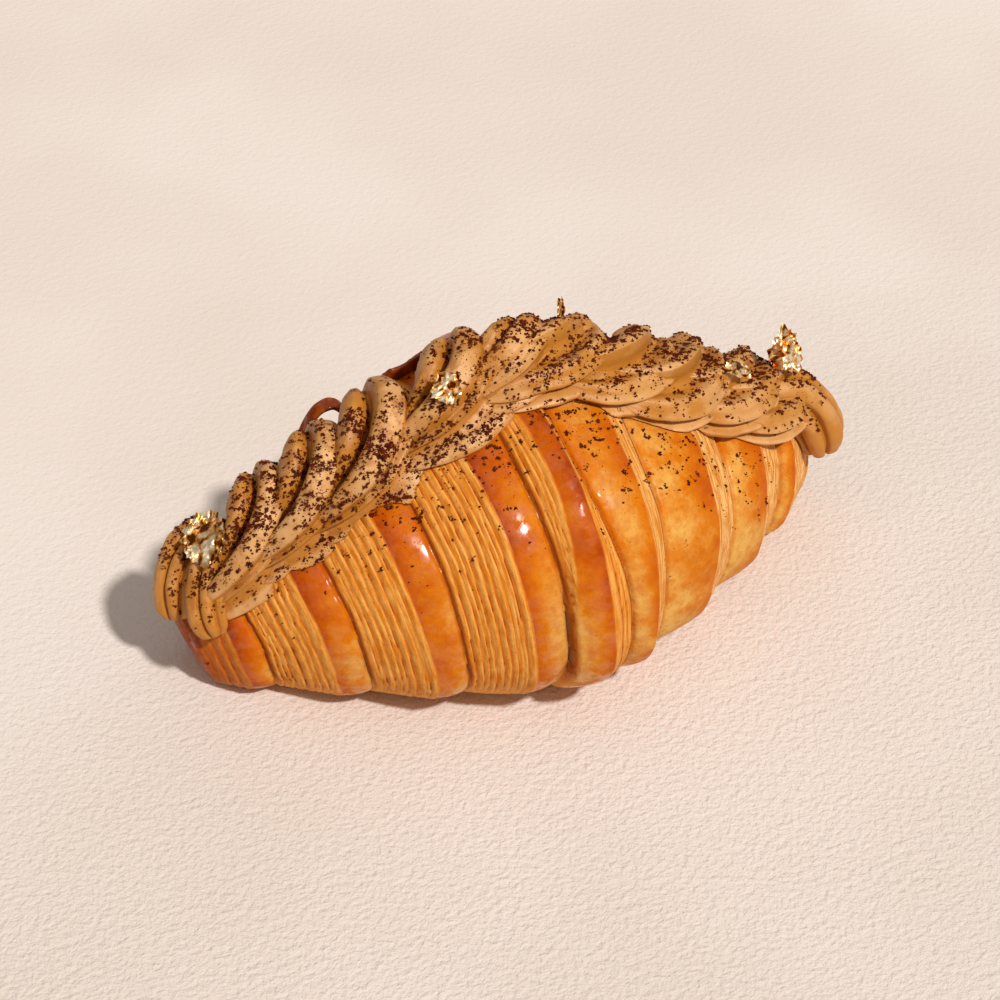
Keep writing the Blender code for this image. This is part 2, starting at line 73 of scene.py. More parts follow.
def lumps(points, scale, offset=0.0):
    """Smooth random height, from about -1 to 1, at each of an array of points."""
    flat = (points.reshape(-1, 3) * scale + offset).tolist()
    return np.array([noise.noise(spot) for spot in flat]).reshape(points.shape[:-1])


def smooth_step(low, high, value):
    """0 below low, 1 above high and a soft rise between."""
    t = np.clip((value - low) / (high - low), 0.0, 1.0)
    return t * t * (3.0 - 2.0 * t)


def spindle(s):
    """Front and back half width, height and backward sweep of the dough at station s."""
    along = s / HALF_LENGTH
    fall = 1.0 - np.minimum(np.abs(along), 1.0) ** TAPER
    fuller = 1.0 - LEFT_FULLER * along
    sizes = [(tip + (full - tip) * fall) * fuller for tip, full in
             ((TIP_HALF_WIDTH, FRONT_WIDTH), (TIP_HALF_WIDTH, BACK_WIDTH), (TIP_HEIGHT, HEIGHT))]
    return (*sizes, TIP_SWEEP * along ** 2)


def crust_point(s, angle, proud):
    """Points of the crust: angle 0 faces front, a quarter turn is the crest."""
    front, back, height, sweep = spindle(s)
    c, v = np.cos(angle), np.sin(angle)
    waist = WAIST * height
    reach = np.where(v > 0.0, height - waist, waist) + proud
    width = np.where(c > 0.0, front, back) + proud
    y = -width * np.copysign(np.abs(c) ** (2.0 / ROUNDNESS), c)
    z = reach * np.copysign(np.abs(v) ** (2.0 / ROUNDNESS), v)
    x = s + FAN * s / HALF_LENGTH * z - SKEW * y
    return np.stack([x, y + sweep + LEAN * z, np.maximum(z + waist - SETTLE, 0.0)], -1)


def crust_top(x, y):
    """Height of the smooth crust over points of the plan."""
    s, z = x, 0.0
    for _ in range(8):
        s = np.clip(s, -HALF_LENGTH, HALF_LENGTH)
        front, back, height, sweep = spindle(s)
        out = y - sweep - LEAN * z
        across = np.minimum(np.abs(out) / np.where(out < 0.0, front, back), 1.0)
        z = (1.0 - WAIST) * height * (1.0 - across ** ROUNDNESS) ** (1.0 / ROUNDNESS)
        s = x - FAN * s / HALF_LENGTH * z + SKEW * out
    return z + WAIST * height - SETTLE


def crust_relief(s, angle, layered=True):
    """How far the crust stands proud, and its marks: cut layers, grooves and browning."""
    spot = np.stack([s * 0.06, np.cos(angle) * 1.4, np.sin(angle) * 1.4], -1)
    around = spot[:1] * (0.0, 1.0, 1.0)
    wander = WANDER * lumps(spot, 1.7, 5.0) + FINE_WANDER * lumps(spot, 6.0, 2.0)
    at = s + wander
    proud = np.zeros_like(s)
    cut = np.zeros_like(s)
    hollow = np.zeros_like(s)
    edge_brown = np.zeros_like(s)
    fold = np.random.default_rng(LAYER_SEED)
    rows = [(LEFT_END, 0.0)]
    down = smooth_step(0.05, 0.95, 1.0 - np.sin(angle))
    for k, (left, right) in enumerate(TURNS):
        at_crest, at_foot = ASKEW.get(k, (0.0, 0.0))
        left = left + at_crest + (at_foot - at_crest) * down
        rows.append((left, STEP if k <= OUTER_TURN else -STEP))
        rows.append((right, -STEP if k < OUTER_TURN else STEP))
    rows.append((HALF_LENGTH, 0.0))
    for zone, count in enumerate(LAYERS):
        start, low = rows[2 * zone]
        end, high = rows[2 * zone + 1]
        inside = (at >= start) & (at <= end)
        u = np.clip((at - start) / (end - start), 0.0, 1.0)
        proud = np.where(inside, low + (high - low) * u ** 0.8, proud)
        edge = smooth_step(-EDGE_SOFTNESS, EDGE_SOFTNESS, at - start)
        edge = edge * smooth_step(-EDGE_SOFTNESS, EDGE_SOFTNESS, end - at)
        cut = np.maximum(cut, edge)
        right_side = zone > OUTER_TURN + 1
        widths = fold.uniform(*LAYER_WIDTHS, count)
        bounds = np.concatenate([[0.0], np.cumsum(widths)]) / widths.sum()
        lows = [np.zeros_like(s)]
        for j in range(1, count):
            stray = LAYER_STRAY * lumps(around, 0.9, 3.0 * zone + 7.0 * j)
            stray = stray + FINE_STRAY * lumps(around, 6.0, 1.0 * j)
            lows.append(bounds[j] + stray / count + np.zeros_like(s))
        lows.append(np.ones_like(s))
        for j in range(count):
            v = (u - lows[j]) / (lows[j + 1] - lows[j])
            one = (v >= 0.0) & (v < 1.0) & inside
            leaning = np.clip(v, 0.0, 1.0) ** (1.25 if zone <= OUTER_TURN else 0.8)
            strong = fold.uniform(*LAYER_STRENGTHS) + 0.35 * lumps(around, 2.0, 20.0 + j + zone)
            ridge = np.sin(math.pi * leaning) ** 0.55
            if layered:
                rise = (RIGHT_RIDGE if right_side else LEFT_RIDGE) * strong * (2.0 * ridge - 1.3)
                proud = proud + np.where(one, rise, 0.0) * edge
            groove = np.where(one, (1.0 - ridge) * np.clip(strong + 0.2, 0.3, 1.2), 0.0) * edge
            hollow = np.maximum(hollow, groove * (RIGHT_HOLLOW if right_side else 1.0))
        if zone < len(TURNS):
            after, fallen = rows[2 * zone + 2]
            smooth = (at > end) & (at < after)
            v = np.clip((at - end) / (after - end), 0.0, 1.0)
            proud = np.where(smooth, high + (fallen - high) * v + BULGE * np.sin(math.pi * v), proud)
            outer = 1.0 - v if zone < OUTER_TURN else v
            edge_brown = np.where(smooth, outer ** 2.2, edge_brown)
            tucked = after if zone < OUTER_TURN else end
            if zone != OUTER_TURN:
                crease = np.exp(-((at - tucked) / CREASE_WIDTH) ** 2)
                proud = proud - CREASE_DEPTH * crease
                hollow = np.maximum(hollow, crease)
    proud = proud + lumps(spot, 1.0) * WAVE + FINE_WAVE * lumps(spot, 9.0, 7.0) * (1.0 - cut)
    under_cream = np.exp(-((np.degrees(angle) - CREAM_ANGLE) / CREAM_SPREAD) ** 4)
    under_dough = np.clip(-FOOT_FADE * np.sin(angle) - FOOT_START, 0.0, 1.0)
    proud = proud * (1.0 - CREAM_PRESS * under_cream) * (1.0 - under_dough)
    return proud, cut, hollow * (1.0 - under_dough), edge_brown


def tube(points):
    """Vertices and faces of a closed body through rings of points, capped at both ends."""
    rings, count = points.shape[:2]
    here = np.arange(rings - 1)[:, None] * count + np.arange(count)[None, :]
    beside = np.arange(rings - 1)[:, None] * count + (np.arange(count)[None, :] + 1) % count
    walls = np.stack([here, beside, beside + count, here + count], -1).reshape(-1, 4)
    middles = np.stack([points[0].mean(0), points[-1].mean(0)])
    middle = rings * count
    around = np.arange(count)
    beyond = (around + 1) % count
    last = (rings - 1) * count
    first_cap = np.stack([beyond, around, np.full(count, middle)], -1)
    last_cap = np.stack([last + around, last + beyond, np.full(count, middle + 1)], -1)
    faces = walls.tolist() + first_cap.tolist() + last_cap.tolist()
    return np.concatenate([points.reshape(-1, 3), middles]), faces


def make_piece(name, places, faces, smooth=True):
    """A mesh object from points in millimetres and faces, its faces turned outwards."""
    mesh = bpy.data.meshes.new(name)
    mesh.from_pydata(((places + TO_TABLE) * MM).tolist(), [], faces)
    turned = bmesh.new()
    turned.from_mesh(mesh)
    bmesh.ops.recalc_face_normals(turned, faces=turned.faces)
    turned.to_mesh(mesh)
    turned.free()
    if smooth:
        mesh.shade_smooth()
    piece = bpy.data.objects.new(name, mesh)
    bpy.context.scene.collection.objects.link(piece)
    return piece


def mark(piece, name, values):
    """Keep one number for each vertex, for the material to read."""
    layer = piece.data.attributes.new(name, "FLOAT", "POINT")
    layer.data.foreach_set("value", np.asarray(values, np.float32).ravel())


stations = np.arange(LEFT_END, HALF_LENGTH, CRUST_PITCH)
turn_angles = np.arange(CRUST_AROUND) * 2.0 * math.pi / CRUST_AROUND
station_grid, angle_grid = np.meshgrid(stations, turn_angles, indexing="ij")
crust_proud, cut_marks, hollow_marks, edge_marks = crust_relief(station_grid, angle_grid)
crust_rings = crust_point(station_grid, angle_grid, crust_proud)
TIP_ROUNDING, TIP_FULLNESS = 9, 0.8
TIP_SWELLS = (-2.0, 2.2)
TIP_TURNS = np.linspace(0.08, 1.0, TIP_ROUNDING, endpoint=False) * math.pi / 2


def rounded_tip(ring, swell):
    """Rings that close a blunt tip with a round edge, from the tip's middle outwards."""
    centre = ring.mean(0)
    steps = [(math.sin(t) ** TIP_FULLNESS, np.array([swell * math.cos(t), 0.0, 0.0])) for t in TIP_TURNS]
    return [centre + (ring - centre) * share + out for share, out in steps]


def with_round_tips(rings, swells):
    """The rings with a rounded tip at either end."""
    left_tip = rounded_tip(rings[0], swells[0])
    right_tip = rounded_tip(rings[-1], swells[1])[::-1]
    return np.stack([*left_tip, *rings, *right_tip])


crust_places, crust_faces = tube(with_round_tips(crust_rings, TIP_SWELLS))
pastry = make_piece("baked_pastry", crust_places, crust_faces)


def over_tips(values, inward=0.0):
    """Marks of the rings, carried on over both rounded tips and their middle points."""
    share = 1.0 - inward + inward * np.sin(TIP_TURNS[:, None]) ** TIP_FULLNESS
    rows = np.concatenate([values[:1] * share, values, values[-1:] * share[::-1]])
    return np.concatenate([rows.ravel(), [values[0].mean(), values[-1].mean()]])


mark(pastry, "cut", over_tips(cut_marks, 0.5))
mark(pastry, "hollow", over_tips(hollow_marks))
mark(pastry, "edge_brown", over_tips(edge_marks))
mark(pastry, "station", over_tips(station_grid))
mark(pastry, "turn", over_tips(np.sin(angle_grid), 1.0))
mark(pastry, "front", over_tips(np.cos(angle_grid), 1.0))


def add(tree, kind, settings=None, **links):
    """A shader node with its settings, and its inputs given as numbers or as sockets."""
    made = tree.nodes.new(kind)
    for name, value in (settings or {}).items():
        setattr(made, name, value)
    for name, value in links.items():
        numbered = name[0] == "i" and name[1:].isdigit()
        socket = made.inputs[int(name[1:]) if numbered else name.replace("_", " ")]
        if isinstance(value, bpy.types.NodeSocket):
            tree.links.new(value, socket)
        else:
            socket.default_value = value
    return made


def maths(tree, operation, a, b=0.0, c=0.0):
    """One step of arithmetic in a material."""
    return add(tree, "ShaderNodeMath", {"operation": operation}, i0=a, i1=b, i2=c).outputs[0]


def times(tree, a, b):
    """Two values multiplied."""
    return maths(tree, "MULTIPLY", a, b)


def plus(tree, a, b):
    """Two values added."""
    return maths(tree, "ADD", a, b)


def blended(tree, share, a, b):
    """Two colours mixed by a share."""
    return add(tree, "ShaderNodeMix", {"data_type": "RGBA"}, i0=share, i6=a, i7=b).outputs[2]


def soft_range(tree, value, low, high, to_low=0.0, to_high=1.0):
    """A value brought from one range to another, with soft ends."""
    settings = {"interpolation_type": "SMOOTHSTEP"}
    made = add(tree, "ShaderNodeMapRange", settings, i0=value, i1=low, i2=high, i3=to_low, i4=to_high)
    return made.outputs[0]


def noise_at(tree, place, scale, detail, roughness=0.5):
    """Smooth noise around a place, from 0 to 1."""
    made = add(tree, "ShaderNodeTexNoise", Vector=place, Scale=scale, Detail=detail, Roughness=roughness)
    return made.outputs[0]


def own_place(tree):
    """The place on the piece itself."""
    return add(tree, "ShaderNodeTexCoord").outputs["Object"]


def facing_up(tree):
    """How far the surface faces up."""
    normal = add(tree, "ShaderNodeNewGeometry").outputs["Normal"]
    return add(tree, "ShaderNodeSeparateXYZ", Vector=normal).outputs[2]


def marked(tree, name):
    """A number kept on the piece's vertices."""
    return add(tree, "ShaderNodeAttribute", {"attribute_name": name}).outputs["Fac"]


def new_material(name):
    """An empty material with its surface shader."""
    material = bpy.data.materials.new(name)
    material.use_nodes = True
    return material, material.node_tree, material.node_tree.nodes["Principled BSDF"]


def new_effect(name, inputs, outputs):
    """An effect shared by materials: named inputs with their usual values, named outputs."""
    effect = bpy.data.node_groups.new(name, "ShaderNodeTree")
    for label, usual in inputs:
        socket = effect.interface.new_socket(label, in_out="INPUT", socket_type="NodeSocketFloat")
        socket.default_value = usual
    for label in outputs:
        effect.interface.new_socket(label, in_out="OUTPUT", socket_type="NodeSocketFloat")
    return effect, effect.nodes.new("NodeGroupInput"), effect.nodes.new("NodeGroupOutput")


def place_effect(tree, effect, **values):
    """The effect put into a material with that material's own values."""
    made = tree.nodes.new("ShaderNodeGroup")
    made.node_tree = effect
    for label, value in values.items():
        socket = made.inputs[label.replace("_", " ")]
        if isinstance(value, bpy.types.NodeSocket):
            tree.links.new(value, socket)
        else:
            socket.default_value = value
    return made


# Fine grain: uneven pores and specks of a chosen size, in crust, cream, leaf and floor.
grain_inputs = (("Size", 1000.0), ("Sharpness", 0.5))
grain, grain_in, grain_out = new_effect("fine_grain", grain_inputs, ("Height", "Specks"))
grain_noise = noise_at(grain, own_place(grain), grain_in.outputs["Size"], 4.0, grain_in.outputs["Sharpness"])
grain.links.new(grain_noise, grain_out.inputs["Height"])
grain.links.new(soft_range(grain, grain_noise, 0.56, 0.72), grain_out.inputs["Specks"])

# Cocoa dust: the finest powder, which stains what it falls on, most where it faces up.
dust, dust_in, dust_out = new_effect("cocoa_dust", (("Amount", 0.5), ("Patch", 220.0)), ("Mask",))
dust_place = own_place(dust)
dust_patch = noise_at(dust, dust_place, dust_in.outputs["Patch"], 3.0, 0.6)
dust_speck = noise_at(dust, dust_place, 1900.0, 3.0, 0.7)
dust_up = soft_range(dust, facing_up(dust), 0.15, 0.9)
dust_share = times(dust, soft_range(dust, dust_patch, 0.42, 0.68), dust_up)
dust_limit = maths(dust, "SUBTRACT", 0.80, times(dust, dust_share, dust_in.outputs["Amount"]))
dust_over = maths(dust, "SUBTRACT", dust_speck, dust_limit)
dust.links.new(soft_range(dust, dust_over, 0.0, 0.07), dust_out.inputs["Mask"])
COCOA = (0.090, 0.012, 0.002, 1.0)

crust_look, tree, surface = new_material("egg_washed_crust")
cut_mask = marked(tree, "cut")
hollow_mask = marked(tree, "hollow")
edge_mask = marked(tree, "edge_brown")
turn_mask = marked(tree, "turn")
station_mask = marked(tree, "station")
front_mask = marked(tree, "front")
object_place = own_place(tree)
patches = noise_at(tree, object_place, 70.0, 7.0, 0.68)
rolled = add(tree, "ShaderNodeCombineXYZ", i0=station_mask, i1=times(tree, turn_mask, 2.4),
             i2=times(tree, front_mask, 2.4)).outputs[0]
streaks = noise_at(tree, rolled, 2.1, 4.0, 0.62)
pores = place_effect(tree, grain, Size=1500.0, Sharpness=0.65)
blisters = place_effect(tree, grain, Size=520.0, Sharpness=0.5)

# The crust is brownest on the crest, on the outer turns' edges and at the left tip.
crest_share = soft_range(tree, station_mask, -1.0, 8.0, 0.42, 0.26)
height_brown = times(tree, soft_range(tree, turn_mask, -0.20, 0.8), crest_share)
outer_brown = times(tree, soft_range(tree, station_mask, -9.0, -5.0),
                    soft_range(tree, station_mask, -1.0, 3.0, 0.14, 0.0))
left_brown = soft_range(tree, station_mask, -2.0, 6.0, 0.19, 0.02)
tip_brown = soft_range(tree, station_mask, -70.0, -57.0, 0.75, 0.0)
browning = maths(tree, "MULTIPLY_ADD", edge_mask, 0.45, height_brown)
browning = plus(tree, browning, soft_range(tree, patches, 0.34, 0.66, -0.24, 0.24))
browning = plus(tree, browning, plus(tree, outer_brown, left_brown))
browning = plus(tree, browning, tip_brown)
washes = add(tree, "ShaderNodeValToRGB", Fac=times(tree, browning, 0.7))
washes.color_ramp.elements[0].color = (0.715, 0.385, 0.085, 1.0)
washes.color_ramp.elements[1].color = (0.160, 0.022, 0.002, 1.0)
washes.color_ramp.elements.new(0.28).color = (0.600, 0.170, 0.004, 1.0)
washes.color_ramp.elements.new(0.50).color = (0.500, 0.092, 0.001, 1.0)
washes.color_ramp.elements.new(0.80).color = (0.330, 0.040, 0.001, 1.0)
wash = washes.outputs["Color"]

# The cut layers stay paler, most of all at the right, with painted shade in the gaps between them.
LAYER_BROWN, LAYER_PALE = (0.660, 0.205, 0.012, 1.0), (0.810, 0.385, 0.085, 1.0)
RIGHT_BROWN, RIGHT_PALE = (0.610, 0.215, 0.028, 1.0), (0.940, 0.580, 0.220, 1.0)
layers_colour = blended(tree, soft_range(tree, streaks, 0.34, 0.66), LAYER_BROWN, LAYER_PALE)
gap_shade = soft_range(tree, hollow_mask, 0.15, 0.90)
layers_colour = blended(tree, gap_shade, layers_colour, (0.480, 0.110, 0.005, 1.0))
pale_layers = blended(tree, soft_range(tree, streaks, 0.42, 0.58), RIGHT_BROWN, RIGHT_PALE)
at_right = soft_range(tree, station_mask, 6.0, 18.0, 0.0, 0.60)
layers_colour = blended(tree, at_right, layers_colour, pale_layers)
layers_colour = blended(tree, tip_brown, layers_colour, (0.400, 0.065, 0.004, 1.0))

# Over both lie painted shade in the creases, pores, the pale foot, small blisters and a little dust.
crust_colour = blended(tree, cut_mask, wash, layers_colour)
crease_shade = soft_range(tree, hollow_mask, 0.72, 1.0, 0.0, 0.8)
crust_colour = blended(tree, crease_shade, crust_colour, (0.200, 0.036, 0.005, 1.0))
in_pores = times(tree, pores.outputs["Specks"], 0.42)
crust_colour = blended(tree, in_pores, crust_colour, (0.300, 0.080, 0.010, 1.0))
at_foot = soft_range(tree, turn_mask, -0.85, -0.25, 0.55, 0.0)
crust_colour = blended(tree, at_foot, crust_colour, (0.840, 0.360, 0.045, 1.0))
mottle = times(tree, soft_range(tree, blisters.outputs["Height"], 0.46, 0.62),
               maths(tree, "MULTIPLY_ADD", cut_mask, -0.22, 0.28))
crust_colour = blended(tree, mottle, crust_colour, (0.500, 0.105, 0.003, 1.0))
crust_dust = place_effect(tree, dust, Amount=0.22, Patch=160.0)
crust_colour = blended(tree, times(tree, crust_dust.outputs["Mask"], 0.75), crust_colour, COCOA)
tree.links.new(crust_colour, surface.inputs["Base Color"])
crust_rough = soft_range(tree, blisters.outputs["Height"], 0.35, 0.65, 0.38, 0.60)
tree.links.new(crust_rough, surface.inputs["Roughness"])

# The egg wash shines in broken patches on the smooth turns, most at the left.
washed = soft_range(tree, noise_at(tree, object_place, 330.0, 3.0, 0.55), 0.44, 0.56)
gloss = times(tree, washed, soft_range(tree, station_mask, 2.0, 14.0, 1.0, 0.12))
gloss = times(tree, gloss, maths(tree, "SUBTRACT", 1.0, cut_mask))
tree.links.new(times(tree, gloss, 0.75), surface.inputs["Coat Weight"])
surface.inputs["Coat Roughness"].default_value = 0.19
surface.inputs["Specular IOR Level"].default_value = 0.06
crust_height = times(tree, pores.outputs["Height"], 0.30)
crust_height = maths(tree, "MULTIPLY_ADD", blisters.outputs["Height"], 1.2, crust_height)
crust_height = maths(tree, "MULTIPLY_ADD", streaks, times(tree, cut_mask, 0.45), crust_height)
crust_bump = add(tree, "ShaderNodeBump", Strength=0.75, Distance=0.00035, Height=crust_height)
tree.links.new(crust_bump.outputs[0], surface.inputs["Normal"])
pastry.data.materials.append(crust_look)
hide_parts("pastry")
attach(pastry, "root")

# ---------------------------------------------------------------- the raised crust
# Where the top was slit, the thin edge of the crust has lifted and stands behind the
# cream, and at its left end one shred has curled over into an open hook. Both are the
# outer skin of the same dough, washed with egg and baked darker than the rest.
LIP = ((-30.0, 19.5, 0.0), (-29.0, 19.5, 1.0), (-25.5, 19.0, 4.5), (-21.5, 18.5, 6.5), (-17.5, 18.0, 5.0),
       (-13.0, 18.0, 5.5), (-8.5, 18.0, 5.0), (-4.0, 17.5, 3.0), (-1.0, 17.5, 1.0))
LIP_THICKNESS, LIP_ROOT = 1.8, 2.0
CURL = ((-42.0, 20.0, 40.0), (-40.0, 20.6, 47.0), (-36.5, 20.8, 52.0), (-33.0, 20.4, 53.2),
        (-30.6, 20.0, 50.0), (-30.0, 19.6, 43.0))
CURL_WIDTH, CURL_THICKNESS = 3.6, 0.9
LIP_STEPS, CURL_STEPS = 70, 60


def eased_line(points, count):
    """A smooth line of many points through a few given ones."""
    given = np.array(points, float)
    at = np.linspace(0.0, len(given) - 1.0, count)
    k = np.clip(at.astype(int), 0, len(given) - 2)
    t = (at - k)[:, None]
    slopes = np.gradient(given, axis=0)
    a, b, m, n = given[k], given[k + 1], slopes[k], slopes[k + 1]
    return (a * (2 * t ** 3 - 3 * t ** 2 + 1) + m * (t ** 3 - 2 * t ** 2 + t)
            + b * (3 * t ** 2 - 2 * t ** 3) + n * (t ** 3 - t ** 2))


def round_section(corners, count):
    """A closed outline of many points that rounds off a few corners."""
    given = np.array(corners, float)
    closed = eased_line(np.concatenate([given[-2:], given, given[:2]]), 1 + (len(given) + 3) * count)
    return closed[2 * count:(2 + len(given)) * count]


lip_rings = []
for x, y, height in eased_line(LIP, LIP_STEPS):
    height = max(0.65 * height, 0.2) * (1.0 + 0.18 * noise.noise((x * 0.9, 3.0, 0.0)))
    low = np.array([x, y, float(crust_top(x, y)) - LIP_ROOT])
    rise = np.array([0.0, -0.12 * height, height + LIP_ROOT])
    thick = np.array([0.0, LIP_THICKNESS, 0.0])
    corners = [low, low + thick * 1.6, low + rise * 0.6 + thick, low + rise + thick * 0.5,
               low + rise * 0.95 - thick * 0.1]
    lip_rings.append(round_section(corners, 4))
curl_line = eased_line(CURL, CURL_STEPS)
curl_rings = []
for i, point in enumerate(curl_line):
    along = curl_line[min(i + 1, CURL_STEPS - 1)] - curl_line[max(i - 1, 0)]
    along = along / np.linalg.norm(along)
    share = i / (CURL_STEPS - 1)
    narrowing = 1.0 - 0.45 * share + 0.12 * noise.noise((share * 7.0, 1.0, 0.0))
    wide = np.array([0.25, 0.9, 0.2]) * 0.5 * CURL_WIDTH * narrowing
    thick = np.cross(along, wide)
    thick = thick / np.linalg.norm(thick) * 0.5 * CURL_THICKNESS
    corners = [point + wide + thick, point - wide + thick, point - wide - thick, point + wide - thick]
    curl_rings.append(round_section(corners, 5))
for name, rings in (("crust_lip", lip_rings), ("crust_curl", curl_rings)):
    raised = make_piece(name, *tube(np.stack(rings)))
    count = len(raised.data.vertices)
    heights = np.array([vertex.co.z for vertex in raised.data.vertices]) / MM
    for label, value in (("cut", 0.0), ("station", -40.0), ("turn", 1.0), ("front", 0.0)):
        mark(raised, label, np.full(count, value))
    mark(raised, "hollow", np.clip(0.4 + 0.3 * np.sin(heights * 1.9), 0.0, 0.7))
    mark(raised, "edge_brown", np.full(count, 1.9))
    raised.data.materials.append(crust_look)
    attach(raised, "root")

# ---------------------------------------------------------------- the piped cream
# Coffee butter cream, piped from the right tip to the left through a star nozzle. Each
# shell starts behind the crest, swells over it and runs out under the next one, so the
# nozzle's ribs show as sharp fins, hollow folds and two wavy lips along the front.
SHELLS = (  # middle along the rope, reach to the front, size, lift, lay
    (52.0, 7.5, 7.2, 0.4, 1.0), (41.5, 7.5, 7.6, 0.4, 1.0), (27.5, 8.6, 7.6, -0.8, 1.0),
    (15.0, 6.0, 7.6, -1.6, 1.0), (-1.0, 3.5, 7.7, -1.4, 0.95), (-5.5, 1.0, 7.0, 0.2, 0.35),
    (-17.0, 2.5, 8.0, 0.2, 0.1), (-34.0, 5.5, 8.0, 0.4, 0.0), (-46.5, 4.5, 7.6, 0.2, 0.0),
    (-58.0, 4.0, 7.2, 0.3, 0.0),
)
HUMPS = ((59.5, -3.5, 6.2), (43.0, -4.0, 5.7), (30.5, -4.5, 5.2), (16.5, -5.0, 5.2))
# How a shell lies where it crosses the crest, and where it runs along it: along, across,
# share of its reach, rise. The ribs give degrees around the strand and how far out it is.
CROSSING = np.array(((6.0, -9.5, 0.0, 0.1), (5.5, -3.0, 0.0, 0.85),
                     (3.0, 5.0, 1.0, 0.80), (-12.0, 2.5, 1.0, 0.10)))
RUNNING = np.array(((21.0, -6.5, 0.0, 1.1), (16.0, -1.0, 0.8, 0.6),
                    (-2.0, 3.0, 1.4, 0.2), (-12.5, -3.0, 0.7, 0.10)))
ROUND_RIBS = ((-60, 0.85), (-36, 0.95), (-18, 1.18), (-6, 1.50), (2, 1.66), (8, 1.58), (13, 1.10),
              (20, 0.92), (29, 0.84), (37, 0.90), (43, 1.16), (49, 1.20), (54, 1.02), (60, 1.12),
              (70, 1.34), (84, 1.38), (96, 1.26), (104, 0.84), (110, 0.38), (117, 0.38), (123, 0.80),
              (136, 1.00), (166, 0.94), (235, 0.80))
OPEN_RIBS = ((-60, 0.85), (-34, 0.92), (-14, 1.08), (-5, 1.30), (0, 1.32), (5, 1.12), (8, 0.86),
             (12, 0.90), (16, 1.20), (20, 1.27), (30, 1.18), (40, 1.14), (47, 1.10), (54, 0.86),
             (64, 0.64), (78, 0.58), (88, 0.70), (94, 1.04), (98, 1.27), (104, 1.27), (120, 1.16),
             (150, 1.06), (200, 0.92), (255, 0.80))
HUMP_OUTLINE = tuple((30 * k, 1.0 if k % 2 else 0.94) for k in range(12))
DRAPED_ENDS = (
    (((58.0, 6.0, 33.0), (67.0, 6.5, 35.0), (74.5, 5.5, 29.0), (76.0, 3.0, 16.5)), 6.8, 6.2),
    (((-64.0, 14.0, 34.0), (-71.0, 13.0, 33.0), (-74.0, 11.0, 27.0), (-74.0, 9.0, 19.0)), 5.4, 4.6),
    (((-60.0, 7.0, 38.0), (-67.0, 6.5, 34.0), (-70.5, 2.5, 27.0), (-69.4, -1.0, 20.5)), 5.6, 4.6),
)
STAR_RIBS, STAR_DEPTH, STAR_SEED = 7, 0.34, 3
ROPE_SIDE, SIDE_DROP = 1.0, 0.034
SHELL_STEPS, SHELL_AROUND = 72, 168
HUMP_STEPS, HUMP_AROUND = 36, 72
END_STEPS, END_AROUND = 48, 144
CORE_ENDS, CORE_STEPS, CORE_AROUND = (-62.0, 60.0), 60, 32
CORE_HALF_WIDTH, CORE_HEIGHT, CORE_FOLD = 5.5, 4.5, 0.9
STRAND_ROUNDING, STRAND_SWELL = 6, 0.3
CREAM_CLEARANCE = 0.5
BED_EVERY = (5, 3)  # one in so many of the crust's rings, and of the points around them
BED_TIP_SWELLS = (-2.6, 2.8)


def rope_place(x, across, rise):
    """Points over the crust: across is towards the front, rise above the crust."""
    middle = TIP_SWEEP * (x / HALF_LENGTH) ** 2 + ROPE_SIDE
    level = np.maximum(crust_top(x, middle - across), crust_top(x, middle) - SIDE_DROP * across ** 2)
    return np.stack([x, middle - across, level + rise], -1)


def fine_outline(outline, count):
    """The outline across a strand, smooth, without overshoot and finest at sharp edges."""
    given = np.array(outline, float)
    corners = len(given)
    at = np.concatenate([given[:, 0] - 360.0, given[:, 0], given[:, 0] + 360.0])
    reach = np.tile(given[:, 1], 3)
    widths = np.diff(at)
    slopes = np.diff(reach) / widths
    same = slopes[:-1] * slopes[1:] > 0.0
    safe = np.where(same, slopes[:-1] * slopes[1:], 0.0)
    turns = np.where(same, 2.0 * safe / np.where(same, slopes[:-1] + slopes[1:], 1.0), 0.0)
    turns = np.concatenate([[0.0], turns, [0.0]])
    share = np.arange(count) * corners / count
    k = share.astype(int) + corners
    t = share % 1.0
    value = (reach[k] * (2 * t ** 3 - 3 * t ** 2 + 1) + turns[k] * widths[k] * (t ** 3 - 2 * t ** 2 + t)
             + reach[k + 1] * (3 * t ** 2 - 2 * t ** 3) + turns[k + 1] * widths[k] * (t ** 3 - t ** 2))
    return np.radians(at[k] + t * widths[k]), value


